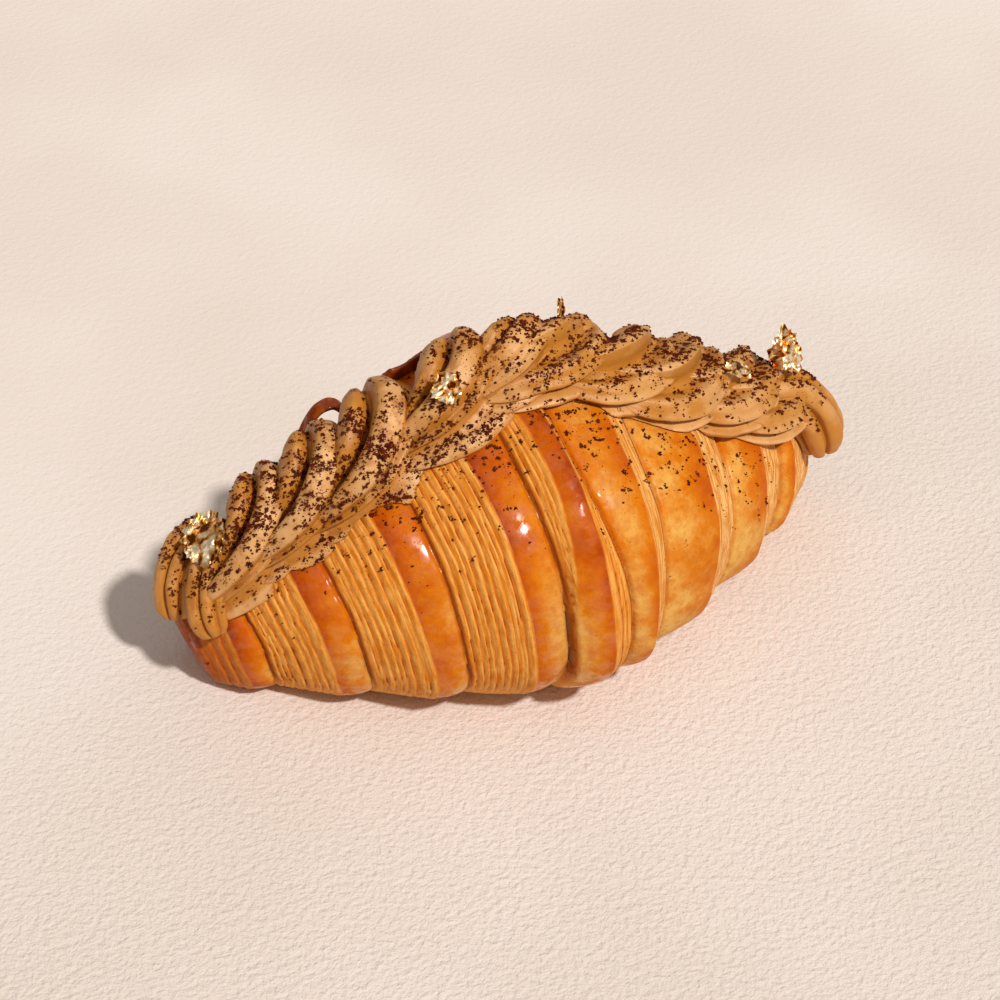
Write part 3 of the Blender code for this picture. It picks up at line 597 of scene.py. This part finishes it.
def strand(path, radii, outward, outline, count, seed, depth=1.0):
    """A ribbed strand swept along a path, with the fine drag marks of the nozzle."""
    ahead = np.gradient(path, axis=0)
    along = ahead / np.linalg.norm(ahead, axis=1, keepdims=True)
    out = outward - along * (outward * along).sum(1, keepdims=True)
    out = out / np.linalg.norm(out, axis=1, keepdims=True)
    side = np.cross(out, along)
    angles, reach = fine_outline(outline, count)
    steps = np.arange(len(path))
    c, v = np.cos(angles), np.sin(angles)
    fine = np.stack(np.broadcast_arrays(steps[:, None] * 0.05, c * 7.0 + seed, v * 7.0), -1)
    drag = 0.011 * lumps(fine, 1.0) + 0.007 * lumps(fine, 3.1)
    slow = np.stack(np.broadcast_arrays(steps[:, None] * 0.11, c * 1.3 + seed, v * 1.3), -1)
    uneven = 0.075 * lumps(slow, 1.0) + 0.030 * lumps(slow, 2.7, 4.0)
    shares = 1.0 + (reach[None, :] - 1.0) * np.broadcast_to(depth, len(path))[:, None]
    sizes = (shares + drag + uneven) * radii[:, None]
    turn = out[:, None] * v[None, :, None] + side[:, None] * c[None, :, None]
    rings = path[:, None] + turn * sizes[..., None]
    bends = np.linspace(0.1, 1.0, STRAND_ROUNDING, endpoint=False) * math.pi / 2
    first, last = rings[0].mean(0), rings[-1].mean(0)
    start = [first + (rings[0] - first) * math.sin(b) - along[0] * radii[0] * STRAND_SWELL * math.cos(b)
             for b in bends]
    end = [last + (rings[-1] - last) * math.sin(b) + along[-1] * radii[-1] * STRAND_SWELL * math.cos(b)
           for b in bends[::-1]]
    round_start = np.repeat(shares[:1], STRAND_ROUNDING, 0)
    round_end = np.repeat(shares[-1:], STRAND_ROUNDING, 0)
    folds = np.concatenate([round_start, shares, round_end])
    return (*tube(np.stack([*start, *rings, *end])), np.concatenate([folds.ravel(), [1.0, 1.0]]))


def bezier(points, u):
    """Points of a cubic curve."""
    v = 1.0 - u
    a, b, c, d = (np.array(point, float) for point in points)
    near = a * (v ** 3)[:, None] + b * (3.0 * u * v ** 2)[:, None]
    return near + c * (3.0 * u ** 2 * v)[:, None] + d * (u ** 3)[:, None]


def swell(u, lay):
    """How full a shell is along its length: a lens where it crosses, a bulb where it runs."""
    crossing = 0.28 + 0.82 * np.sin(math.pi * (0.12 + 0.84 * u)) ** 0.95
    running = 0.22 + 0.78 * np.sin(math.pi * u ** 0.85) ** 0.8
    return crossing + (running - crossing) * lay


strands = []
shell_u = np.linspace(0.0, 1.0, SHELL_STEPS)
for index, (middle, reach, size, lift, lay) in enumerate(SHELLS):
    turns = []
    for along, across, share, rise in CROSSING + (RUNNING - CROSSING) * lay:
        turns.append((middle + along, across + share * reach, rise * size + (lift if 0.5 < rise else 0.0)))
    spots = bezier(turns, shell_u)
    path = rope_place(spots[:, 0], spots[:, 1], spots[:, 2])
    outward = np.stack([np.full(SHELL_STEPS, 0.2), -0.05 * spots[:, 1], np.ones(SHELL_STEPS)], -1)
    ribs = np.array(ROUND_RIBS) + (np.array(OPEN_RIBS) - np.array(ROUND_RIBS)) * lay
    depth = 1.0 - (1.0 - lay) * 0.65 * (1.0 - smooth_step(0.10, 0.55, shell_u))
    strands.append(strand(path, size * swell(shell_u, lay), outward, ribs, SHELL_AROUND, 10.0 * index, depth))
hump_u = np.linspace(0.0, 1.0, HUMP_STEPS)
for index, (middle, reach, size) in enumerate(HUMPS):
    turns = ((middle + 3.0, reach - 9.0, 0.1 * size), (middle + 3.0, reach - 6.0, size),
             (middle + 1.0, reach + 1.0, 1.1 * size), (middle - 4.0, reach + 7.0, 0.3 * size))
    spots = bezier(turns, hump_u)
    path = rope_place(spots[:, 0], spots[:, 1], spots[:, 2])
    outward = np.tile([0.2, 0.0, 1.0], (HUMP_STEPS, 1))
    radii = size * (0.45 + 0.55 * np.sin(math.pi * hump_u))
    strands.append(strand(path, radii, outward, HUMP_OUTLINE, HUMP_AROUND, 100.0 + 10.0 * index))
star = []
nozzle = np.random.default_rng(STAR_SEED)
rib_ends = np.cumsum(nozzle.uniform(0.7, 1.3, STAR_RIBS))
rib_ends = rib_ends * 360.0 / rib_ends[-1]
for low, high in zip([0.0, *rib_ends[:-1]], rib_ends):
    valley = 1.0 - STAR_DEPTH * nozzle.uniform(0.7, 1.3)
    ridge = nozzle.uniform(0.97, 1.05)
    for part, reach in ((0.0, valley), (0.16, 0.90), (0.5, ridge), (0.84, 0.90)):
        star.append((low + part * (high - low), reach))
end_u = np.linspace(0.0, 1.0, END_STEPS)
for index, (points, start_size, end_size) in enumerate(DRAPED_ENDS):
    radii = (start_size + (end_size - start_size) * end_u) * (1.0 - 0.28 * np.abs(2.0 * end_u - 1.0) ** 9)
    outward = np.tile([math.copysign(0.6, points[0][0]), -0.3, 1.0], (END_STEPS, 1))
    strands.append(strand(bezier(points, end_u), radii, outward, star, END_AROUND, 200.0 + 10.0 * index))
core_rings = []
around = np.arange(CORE_AROUND) * 2.0 * math.pi / CORE_AROUND
for x in np.linspace(*CORE_ENDS, CORE_STEPS):
    across, rise = CORE_HALF_WIDTH * np.cos(around), CORE_HEIGHT * np.sin(around)
    core_rings.append(rope_place(np.full(CORE_AROUND, x), across, rise))
core = make_piece("piped_coffee_cream", *tube(np.stack(core_rings)))
# Where the core and the bed show, the material paints them with the shade of a fold.
mark(core, "fold", np.full(len(core.data.vertices), CORE_FOLD))
bed_s, bed_a = np.meshgrid(stations[::BED_EVERY[0]], turn_angles[::BED_EVERY[1]], indexing="ij")
bed_proud = crust_relief(bed_s, bed_a, layered=False)[0] + CREAM_CLEARANCE
bed_rings = crust_point(bed_s, bed_a, bed_proud)
bed = make_piece("bed", *tube(with_round_tips(bed_rings, BED_TIP_SWELLS)))
mark(bed, "fold", np.full(len(bed.data.vertices), CORE_FOLD))


def join(body, others, operation):
    """One Boolean of a body with a group of others, applied, and the group removed."""
    group = bpy.data.collections.new("group")
    for other in others:
        for owner in other.users_collection:
            owner.objects.unlink(other)
        group.objects.link(other)
    step = body.modifiers.new("join", "BOOLEAN")
    step.operation = operation
    step.solver = "MANIFOLD"
    step.operand_type = "COLLECTION"
    step.collection = group
    settled = bpy.data.meshes.new_from_object(body.evaluated_get(bpy.context.evaluated_depsgraph_get()))
    body.modifiers.clear()
    body.data = settled
    for other in others:
        bpy.data.objects.remove(other)
    bpy.data.collections.remove(group)


pieces = []
for places, faces, folds in strands:
    pieces.append(make_piece("strand", places, faces))
    mark(pieces[-1], "fold", folds)
join(core, pieces, "UNION")
join(core, [bed], "DIFFERENCE")
cream = core
cream.data.shade_smooth()

cream_look, tree, surface = new_material("coffee_butter_cream")
object_place = own_place(tree)
tone = noise_at(tree, object_place, 110.0, 3.0, 0.5)
whipped = place_effect(tree, grain, Size=900.0, Sharpness=0.55)
fold_mask = marked(tree, "fold")
cream_up = facing_up(tree)

# Painted light and shade over a random tone: paler facing up and on the ribs and thin lips, painted shade in
# the folds.
CREAM_DEEP, CREAM_PALE = (0.480, 0.180, 0.016, 1.0), (0.705, 0.385, 0.150, 1.0)
cream_tone_light_shade = soft_range(tree, cream_up, 0.15, 0.95, 0.0, 0.35)
cream_tone_light_shade = maths(tree, "MULTIPLY_ADD", soft_range(tree, tone, 0.38, 0.62), 0.55, cream_tone_light_shade)
cream_tone_light_shade = plus(tree, cream_tone_light_shade, soft_range(tree, fold_mask, 0.60, 1.06, -1.15, -0.20))
cream_tone_light_shade = plus(tree, cream_tone_light_shade, soft_range(tree, fold_mask, 1.20, 1.34, 0.0, 0.50))
cream_colour = blended(tree, cream_tone_light_shade, CREAM_DEEP, CREAM_PALE)

# Cocoa that has drawn in moisture stains what faces up, most at the left.
damp = soft_range(tree, noise_at(tree, object_place, 250.0, 4.0, 0.6), 0.47, 0.66)
damp = times(tree, damp, soft_range(tree, cream_up, 0.0, 0.7))
along = add(tree, "ShaderNodeSeparateXYZ", Vector=object_place).outputs[0]
damp = times(tree, damp, soft_range(tree, along, -0.020, 0.000, 0.62, 0.20))
cream_colour = blended(tree, damp, cream_colour, (0.330, 0.090, 0.010, 1.0))
cream_dust = place_effect(tree, dust, Amount=0.36, Patch=260.0)
cream_colour = blended(tree, times(tree, cream_dust.outputs["Mask"], 0.85), cream_colour, COCOA)
tree.links.new(cream_colour, surface.inputs["Base Color"])
cream_rough = soft_range(tree, whipped.outputs["Height"], 0.3, 0.7, 0.46, 0.60)
cream_rough = maths(tree, "MULTIPLY_ADD", cream_dust.outputs["Mask"], 0.4, cream_rough)
tree.links.new(cream_rough, surface.inputs["Roughness"])
cream_bump = add(tree, "ShaderNodeBump", Strength=0.5, Distance=0.00025, Height=whipped.outputs["Height"])
tree.links.new(cream_bump.outputs[0], surface.inputs["Normal"])
cream.data.materials.clear()
cream.data.materials.append(cream_look)
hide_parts("piped_cream")
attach(cream, "root")

# ---------------------------------------------------------------- the gold leaf
# Edible gold leaf, beaten far thinner than paper, torn with a brush and dropped on the
# cream. It crumples at a touch, so each piece is a thin sheet full of sharp creases.
LEAVES = (  # name, place, facing, width, length, crumple, lying
    ("gold_leaf_left", (-67.0, 9.4, 36.7), (-0.16, -0.67, 0.72), 8.8, 10.4, 1.3, True),
    ("gold_leaf_middle", (-18.0, -4.2, 70.4), (-0.16, -0.67, 0.72), 5.6, 5.8, 1.1, True),
    ("gold_leaf_flake", (50.6, -1.4, 49.0), (-0.1, -0.5, 0.86), 6.6, 3.4, 0.6, True),
    ("gold_leaf_strip", (11.2, 3.0, 75.0), (-0.3, -0.9, 0.2), 1.6, 5.0, 0.5, False),
    ("gold_leaf_right", (66.4, 5.8, 43.0), (-0.2, -0.88, 0.42), 7.2, 9.4, 1.6, False),
)
LEAF_THICKNESS, LEAF_CELL, LEAF_GAP = 0.12, 0.55, 0.25
RAGGEDNESS, TEARS, CRUMPLE_DEPTH = 0.30, 0.26, 0.8
CAST_HEIGHT = 20.0
SETTLING_PASSES = 60
STANDING_ROWS = 6

gold_look, tree, surface = new_material("beaten_gold")
foil = place_effect(tree, grain, Size=1100.0, Sharpness=0.6)
thin = noise_at(tree, own_place(tree), 420.0, 3.0)
# Painted light on the leaf: dark painted shade along thin crease lines, gold faces, and near-white painted
# glints.
gold_glint_and_shade = plus(tree, marked(tree, "crease"), soft_range(tree, thin, 0.3, 0.7, -0.2, 0.2))
GOLD_CREASE_SHADE, GOLD_FACE = (0.120, 0.028, 0.001, 1.0), (0.800, 0.360, 0.075, 1.0)
GOLD_PAINTED_GLINT = (1.0, 0.840, 0.580, 1.0)
gold_colour = blended(tree, soft_range(tree, gold_glint_and_shade, 0.30, 0.48), GOLD_CREASE_SHADE, GOLD_FACE)
gold_colour = blended(tree, soft_range(tree, gold_glint_and_shade, 0.50, 0.72), gold_colour, GOLD_PAINTED_GLINT)
tree.links.new(gold_colour, surface.inputs["Base Color"])
surface.inputs["Metallic"].default_value = 1.0
gold_rough = soft_range(tree, foil.outputs["Height"], 0.3, 0.7, 0.28, 0.46)
tree.links.new(gold_rough, surface.inputs["Roughness"])
gold_bump = add(tree, "ShaderNodeBump", Strength=0.12, Distance=0.0002, Height=foil.outputs["Height"])
tree.links.new(gold_bump.outputs[0], surface.inputs["Normal"])

cream_skin = BVHTree.FromObject(cream, bpy.context.evaluated_depsgraph_get())
crust_skin = BVHTree.FromObject(pastry, bpy.context.evaluated_depsgraph_get())


def food_level(point, out):
    """How far out from a point the cream or the crust reaches, in millimetres."""
    start = Vector((point + TO_TABLE + out * CAST_HEIGHT) * MM)
    depths = [skin.ray_cast(start, Vector(-out))[3] for skin in (cream_skin, crust_skin)]
    met = [depth for depth in depths if depth is not None]
    return CAST_HEIGHT - min(met, default=2.0 * CAST_HEIGHT * MM) / MM


def creases(spots):
    """Sharp folds in all directions, as in crumpled foil."""
    folds = np.zeros(spots.shape[:-1])
    for k, (scale, depth) in enumerate(((2.3, 1.0), (4.9, 0.55))):
        folds += depth * (1.0 - 2.4 * np.abs(lumps(spots, scale, 17.0 * k)))
    return folds


for leaf_name, place, facing, width, length, crumple, lying in LEAVES:
    out = np.array(facing) / np.linalg.norm(facing)
    side = np.cross((0.0, 0.0, 1.0), out)
    side = side / np.linalg.norm(side)
    up = np.cross(out, side)
    columns = max(6, round(width / LEAF_CELL))
    steps = max(6, round(length / LEAF_CELL))
    over, beside = np.arange(steps + 1) / steps - 0.5, np.arange(columns + 1) / columns - 0.5
    rows, across = np.meshgrid(over, beside, indexing="ij")
    spots = np.stack([across, rows, np.full_like(rows, width)], -1)
    ragged = 1.0 + RAGGEDNESS * lumps(spots, 2.6) - 0.9 * np.abs(across * rows)
    to_edge = (np.maximum(np.abs(across), np.abs(rows)) * 2.0) ** 6
    torn = 1.0 + TEARS * lumps(spots, 9.0, 4.0) * to_edge
    sideways = side * (across * width * ragged * torn)[..., None]
    upwards = up * (rows * length * ragged * torn)[..., None]
    flats = np.array(place) + (sideways + upwards)
    folds = creases(spots) * crumple * CRUMPLE_DEPTH
    if lying:
        levels = np.array([[food_level(flat, out) for flat in row] for row in flats])
        for _ in range(SETTLING_PASSES):
            near = np.pad(levels, 1, mode="edge")
            near = (near[2:, 1:-1] + near[:-2, 1:-1] + near[1:-1, 2:] + near[1:-1, :-2]) / 4.0
            levels = np.maximum(levels, near)
        heights = levels + np.maximum(folds - folds.min() * 0.6, 0.0) + LEAF_GAP
        lower = flats + out * heights[..., None]
    else:
        lower = flats + out * folds[..., None]
        up_axis = np.array([0.0, 0.0, 1.0])
        rise = max(food_level(point, up_axis) for row in lower[:STANDING_ROWS] for point in row)
        lower = lower + up_axis * (rise + LEAF_GAP)
    count = (steps + 1) * (columns + 1)
    cells = (np.arange(steps)[:, None] * (columns + 1) + np.arange(columns)[None, :]).ravel()
    under = np.stack([cells, cells + 1, cells + columns + 2, cells + columns + 1], -1)
    rim = [(0, i) for i in range(columns + 1)] + [(j, columns) for j in range(1, steps + 1)]
    rim += [(steps, i) for i in range(columns - 1, -1, -1)] + [(j, 0) for j in range(steps - 1, 0, -1)]
    rim = [j * (columns + 1) + i for j, i in rim]
    walls = [[a, b, b + count, a + count] for a, b in zip(rim, rim[1:] + rim[:1])]
    places = np.concatenate([lower.reshape(-1, 3), (lower + out * LEAF_THICKNESS).reshape(-1, 3)])
    faces = under.tolist() + (under + count).tolist() + walls
    leaf = make_piece(leaf_name + "_foil", places, faces, smooth=False)
    # The crease mark places the painted light: near-white glints on high folds and painted shade along thin
    # crease lines.
    low_high = (folds - folds.min()) / (folds.max() - folds.min())
    sharp = np.clip(np.abs(lumps(spots, 5.5, 31.0)) * 3.4, 0.0, 1.0)
    mark(leaf, "crease", np.tile((0.25 * low_high + 0.65 * sharp).ravel(), 2))
    leaf.data.materials.append(gold_look)
    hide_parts(leaf_name)
    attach(leaf, "root")

# ---------------------------------------------------------------- the cocoa powder
# Coarse cocoa, shaken over the finished rope from straight above, and over its left end
# from a little in front. It lies thick on the crests and in the folds, thins out on the
# steep sides and speckles the crust.
GRAINS, GRAIN_SIZES = 20000, (0.10, 0.42)
POWDER_SEED = 11
POWDER_END, LEFT_PART = 76.0, -8.0
POWDER_MIDDLE, POWDER_SPREAD = 0.5, 9.0
LEFT_MIDDLE, LEFT_SPREAD = -5.0, 1.1 * POWDER_SPREAD
STRAY_SHARE, STRAY_SPREAD = 0.09, 17.0
THIN_SHARE, PATCHES, LEFT_PATCHES = 0.06, 1.1, 6.5
PATCH_STRENGTH, WIDE_PATCH, FINE_PATCH = 0.9, 0.16, 0.8
CRUST_SHARE, RIGHT_SHARE = 0.25, 0.5
FALL_LEAN, LEAN_START, LEAN_LENGTH, LEAN_SHIFT = 0.6, 4.0, 20.0, 70.0
FALL_HEIGHT, STEEPEST = 0.12, 0.12
CLUMP_SHARE, CLUMP_GRAINS, CLUMP_SIZE, CLUMP_REACH = 0.24, (2, 13), 0.28, 1.5
UNEVENNESS, ROUGHNESS, FLATNESS, RAISED_SHARE = (0.65, 1.35), 0.16, 0.8, 0.35

powder_look, tree, surface = new_material("cocoa_powder")
shade = noise_at(tree, own_place(tree), 900.0, 2.0)
POWDER_DARK, POWDER_PALE = (0.050, 0.005, 0.001, 1.0), (0.130, 0.018, 0.003, 1.0)
powder_colour = blended(tree, soft_range(tree, shade, 0.35, 0.65), POWDER_DARK, POWDER_PALE)
tree.links.new(powder_colour, surface.inputs["Base Color"])
tree.links.new(soft_range(tree, shade, 0.3, 0.7, 0.7, 0.95), surface.inputs["Roughness"])
surface.inputs["Specular IOR Level"].default_value = 0.1

chance = np.random.default_rng(POWDER_SEED)
OCTAHEDRON = np.array([(1, 0, 0), (-1, 0, 0), (0, 1, 0), (0, -1, 0), (0, 0, 1), (0, 0, -1)], float)
SIDES = np.array([(0, 2, 4), (2, 1, 4), (1, 3, 4), (3, 0, 4), (2, 0, 5), (1, 2, 5), (3, 1, 5), (0, 3, 5)])
landed = []
while len(landed) < GRAINS:
    x = chance.uniform(-POWDER_END, POWDER_END)
    at_left = x <= LEFT_PART
    middle, spread = (LEFT_MIDDLE, LEFT_SPREAD) if at_left else (POWDER_MIDDLE, POWDER_SPREAD)
    drift = chance.normal(middle, spread)
    stray = chance.random() < STRAY_SHARE
    if stray:
        drift = -abs(chance.normal(0.0, STRAY_SPREAD))
    y = TIP_SWEEP * (x / HALF_LENGTH) ** 2 + ROPE_SIDE + drift
    patch = PATCH_STRENGTH * noise.noise((x * WIDE_PATCH, y * WIDE_PATCH, 3.0))
    patch = patch + PATCH_STRENGTH * noise.noise((x * FINE_PATCH, y * FINE_PATCH, 9.0))
    thick = LEFT_PATCHES if at_left else PATCHES
    if chance.random() > THIN_SHARE + thick * max(patch, 0.0) ** 1.5 and not stray:
        continue
    lean = FALL_LEAN * min(max(-(x + LEAN_START) / LEAN_LENGTH, 0.0), 1.0)
    fall = Vector((0.0, lean, -1.0)).normalized()
    start = Vector(((x + TO_TABLE[0]) * MM, (y + TO_TABLE[1] - LEAN_SHIFT * lean) * MM, FALL_HEIGHT))
    on_cream = cream_skin.ray_cast(start, fall)
    on_crust = crust_skin.ray_cast(start, fall)
    beside_rope = on_crust[0] is not None and (on_cream[0] is None or on_crust[3] < on_cream[3])
    spot, normal = (on_crust if beside_rope else on_cream)[:2]
    if beside_rope and chance.random() > CRUST_SHARE + RIGHT_SHARE * (x > 0.0):
        continue
    if spot is None or -normal.dot(fall) < STEEPEST:
        continue
    landed.append((*(spot / MM), *normal))
    if chance.random() < CLUMP_SHARE:
        skin = crust_skin if beside_rope else cream_skin
        for _ in range(chance.integers(*CLUMP_GRAINS)):
            near = start + Vector((*(chance.normal(0.0, CLUMP_SIZE, 2) * MM), 0.0))
            also, also_normal = skin.ray_cast(near, fall)[:2]
            if also is not None and (also - spot).length < CLUMP_REACH * MM:
                landed.append((*(also / MM), *also_normal))
landed = np.array(landed[:GRAINS])
smallest, largest = GRAIN_SIZES
grain_radius = (smallest + (largest - smallest) * chance.random(GRAINS) ** 2.8)[:, None, None]
grain_shape = OCTAHEDRON[None] * grain_radius * chance.uniform(*UNEVENNESS, (GRAINS, 6, 1))
grain_shape = grain_shape + chance.normal(0.0, ROUGHNESS, (GRAINS, 6, 3)) * grain_radius
turn_by = chance.uniform(0.0, 2.0 * math.pi, GRAINS)[:, None]
c, v = np.cos(turn_by), np.sin(turn_by)
along, across, high = np.moveaxis(grain_shape, -1, 0)
turned = np.stack([along * c - across * v, along * v + across * c, high * FLATNESS], -1)
raised = landed[:, None, 3:] * grain_radius * RAISED_SHARE
grain_places = landed[:, None, :3] - TO_TABLE + raised + turned
grain_faces = (SIDES[None] + 6 * np.arange(GRAINS)[:, None, None]).reshape(-1, 3)
powder = make_piece("cocoa_grains", grain_places.reshape(-1, 3), grain_faces.tolist(), smooth=False)
powder.data.materials.append(powder_look)
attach(powder, "root")

# ---------------------------------------------------------------- the table and the light
# A plain pale table coated with fine plaster, lit by one high lamp from the right, a
# little to the front, and by a soft pale room. The camera looks down on the front.
FLOOR_HALF_SIZE = 1.6
floor_mesh = bpy.data.meshes.new("plaster_table")
corners = ((-1, -1), (1, -1), (1, 1), (-1, 1))
floor_corners = [(x * FLOOR_HALF_SIZE, y * FLOOR_HALF_SIZE, 0.0) for x, y in corners]
floor_mesh.from_pydata(floor_corners, [], [(0, 1, 2, 3)])
floor = bpy.data.objects.new("plaster_table", floor_mesh)
bpy.context.scene.collection.objects.link(floor)
plaster_look, tree, surface = new_material("pale_plaster")
object_place = own_place(tree)
broad = noise_at(tree, object_place, 9.0, 3.0)
trowel = place_effect(tree, grain, Size=560.0, Sharpness=0.6)
sand = place_effect(tree, grain, Size=900.0, Sharpness=0.5)
PLASTER_SHADE, PLASTER_PALE = (0.690, 0.600, 0.535, 1.0), (0.735, 0.650, 0.592, 1.0)
plaster = blended(tree, soft_range(tree, broad, 0.35, 0.65), PLASTER_SHADE, PLASTER_PALE)
tree.links.new(plaster, surface.inputs["Base Color"])
surface.inputs["Roughness"].default_value = 0.9
plaster_height = maths(tree, "MULTIPLY_ADD", sand.outputs["Height"], 0.5, trowel.outputs["Height"])
far_part = add(tree, "ShaderNodeSeparateXYZ", Vector=object_place).outputs[1]
plaster_height = times(tree, plaster_height, soft_range(tree, far_part, -0.06, 0.12, 1.0, 0.30))
plaster_bump = add(tree, "ShaderNodeBump", Strength=0.9, Distance=0.0008, Height=plaster_height)
tree.links.new(plaster_bump.outputs[0], surface.inputs["Normal"])
floor_mesh.materials.append(plaster_look)

room = bpy.data.worlds.new("pale_room")
bpy.context.scene.world = room
room.use_nodes = True
tree = room.node_tree
ROOM_LOW, ROOM_HIGH = (0.10, 0.080, 0.062, 1.0), (0.46, 0.44, 0.42, 1.0)
looking = add(tree, "ShaderNodeTexCoord").outputs["Generated"]
upward = add(tree, "ShaderNodeSeparateXYZ", Vector=looking).outputs[2]
room_light = blended(tree, soft_range(tree, upward, -0.1, 0.75), ROOM_LOW, ROOM_HIGH)
tree.links.new(room_light, tree.nodes["Background"].inputs["Color"])
LAMP_FROM = Vector((0.26, -0.95, 1.27))
lamp_data = bpy.data.lights.new("high_lamp", "SUN")
lamp_data.energy = 3.2
lamp_data.color = (1.0, 0.97, 0.93)
lamp_data.angle = math.radians(4.0)
lamp = bpy.data.objects.new("high_lamp", lamp_data)
lamp.rotation_mode = "QUATERNION"
lamp.rotation_quaternion = LAMP_FROM.to_track_quat("Z", "Y")
bpy.context.scene.collection.objects.link(lamp)

CAMERA_BACK = Vector((-0.3053, -0.6775, 0.6691))
CAMERA_TARGET = Vector((-0.00518, 0.00444, 0.03205))
CAMERA_DISTANCE = 0.70
camera_data = bpy.data.cameras.new("camera")
camera_data.lens = 119.04
camera_data.sensor_width = 36.0
camera = bpy.data.objects.new("camera", camera_data)
camera.rotation_mode = "QUATERNION"
camera.location = CAMERA_TARGET + CAMERA_BACK * CAMERA_DISTANCE
camera.rotation_quaternion = CAMERA_BACK.to_track_quat("Z", "Y")
bpy.context.scene.collection.objects.link(camera)
bpy.context.scene.camera = camera
bpy.context.scene.view_settings.view_transform = "Standard"
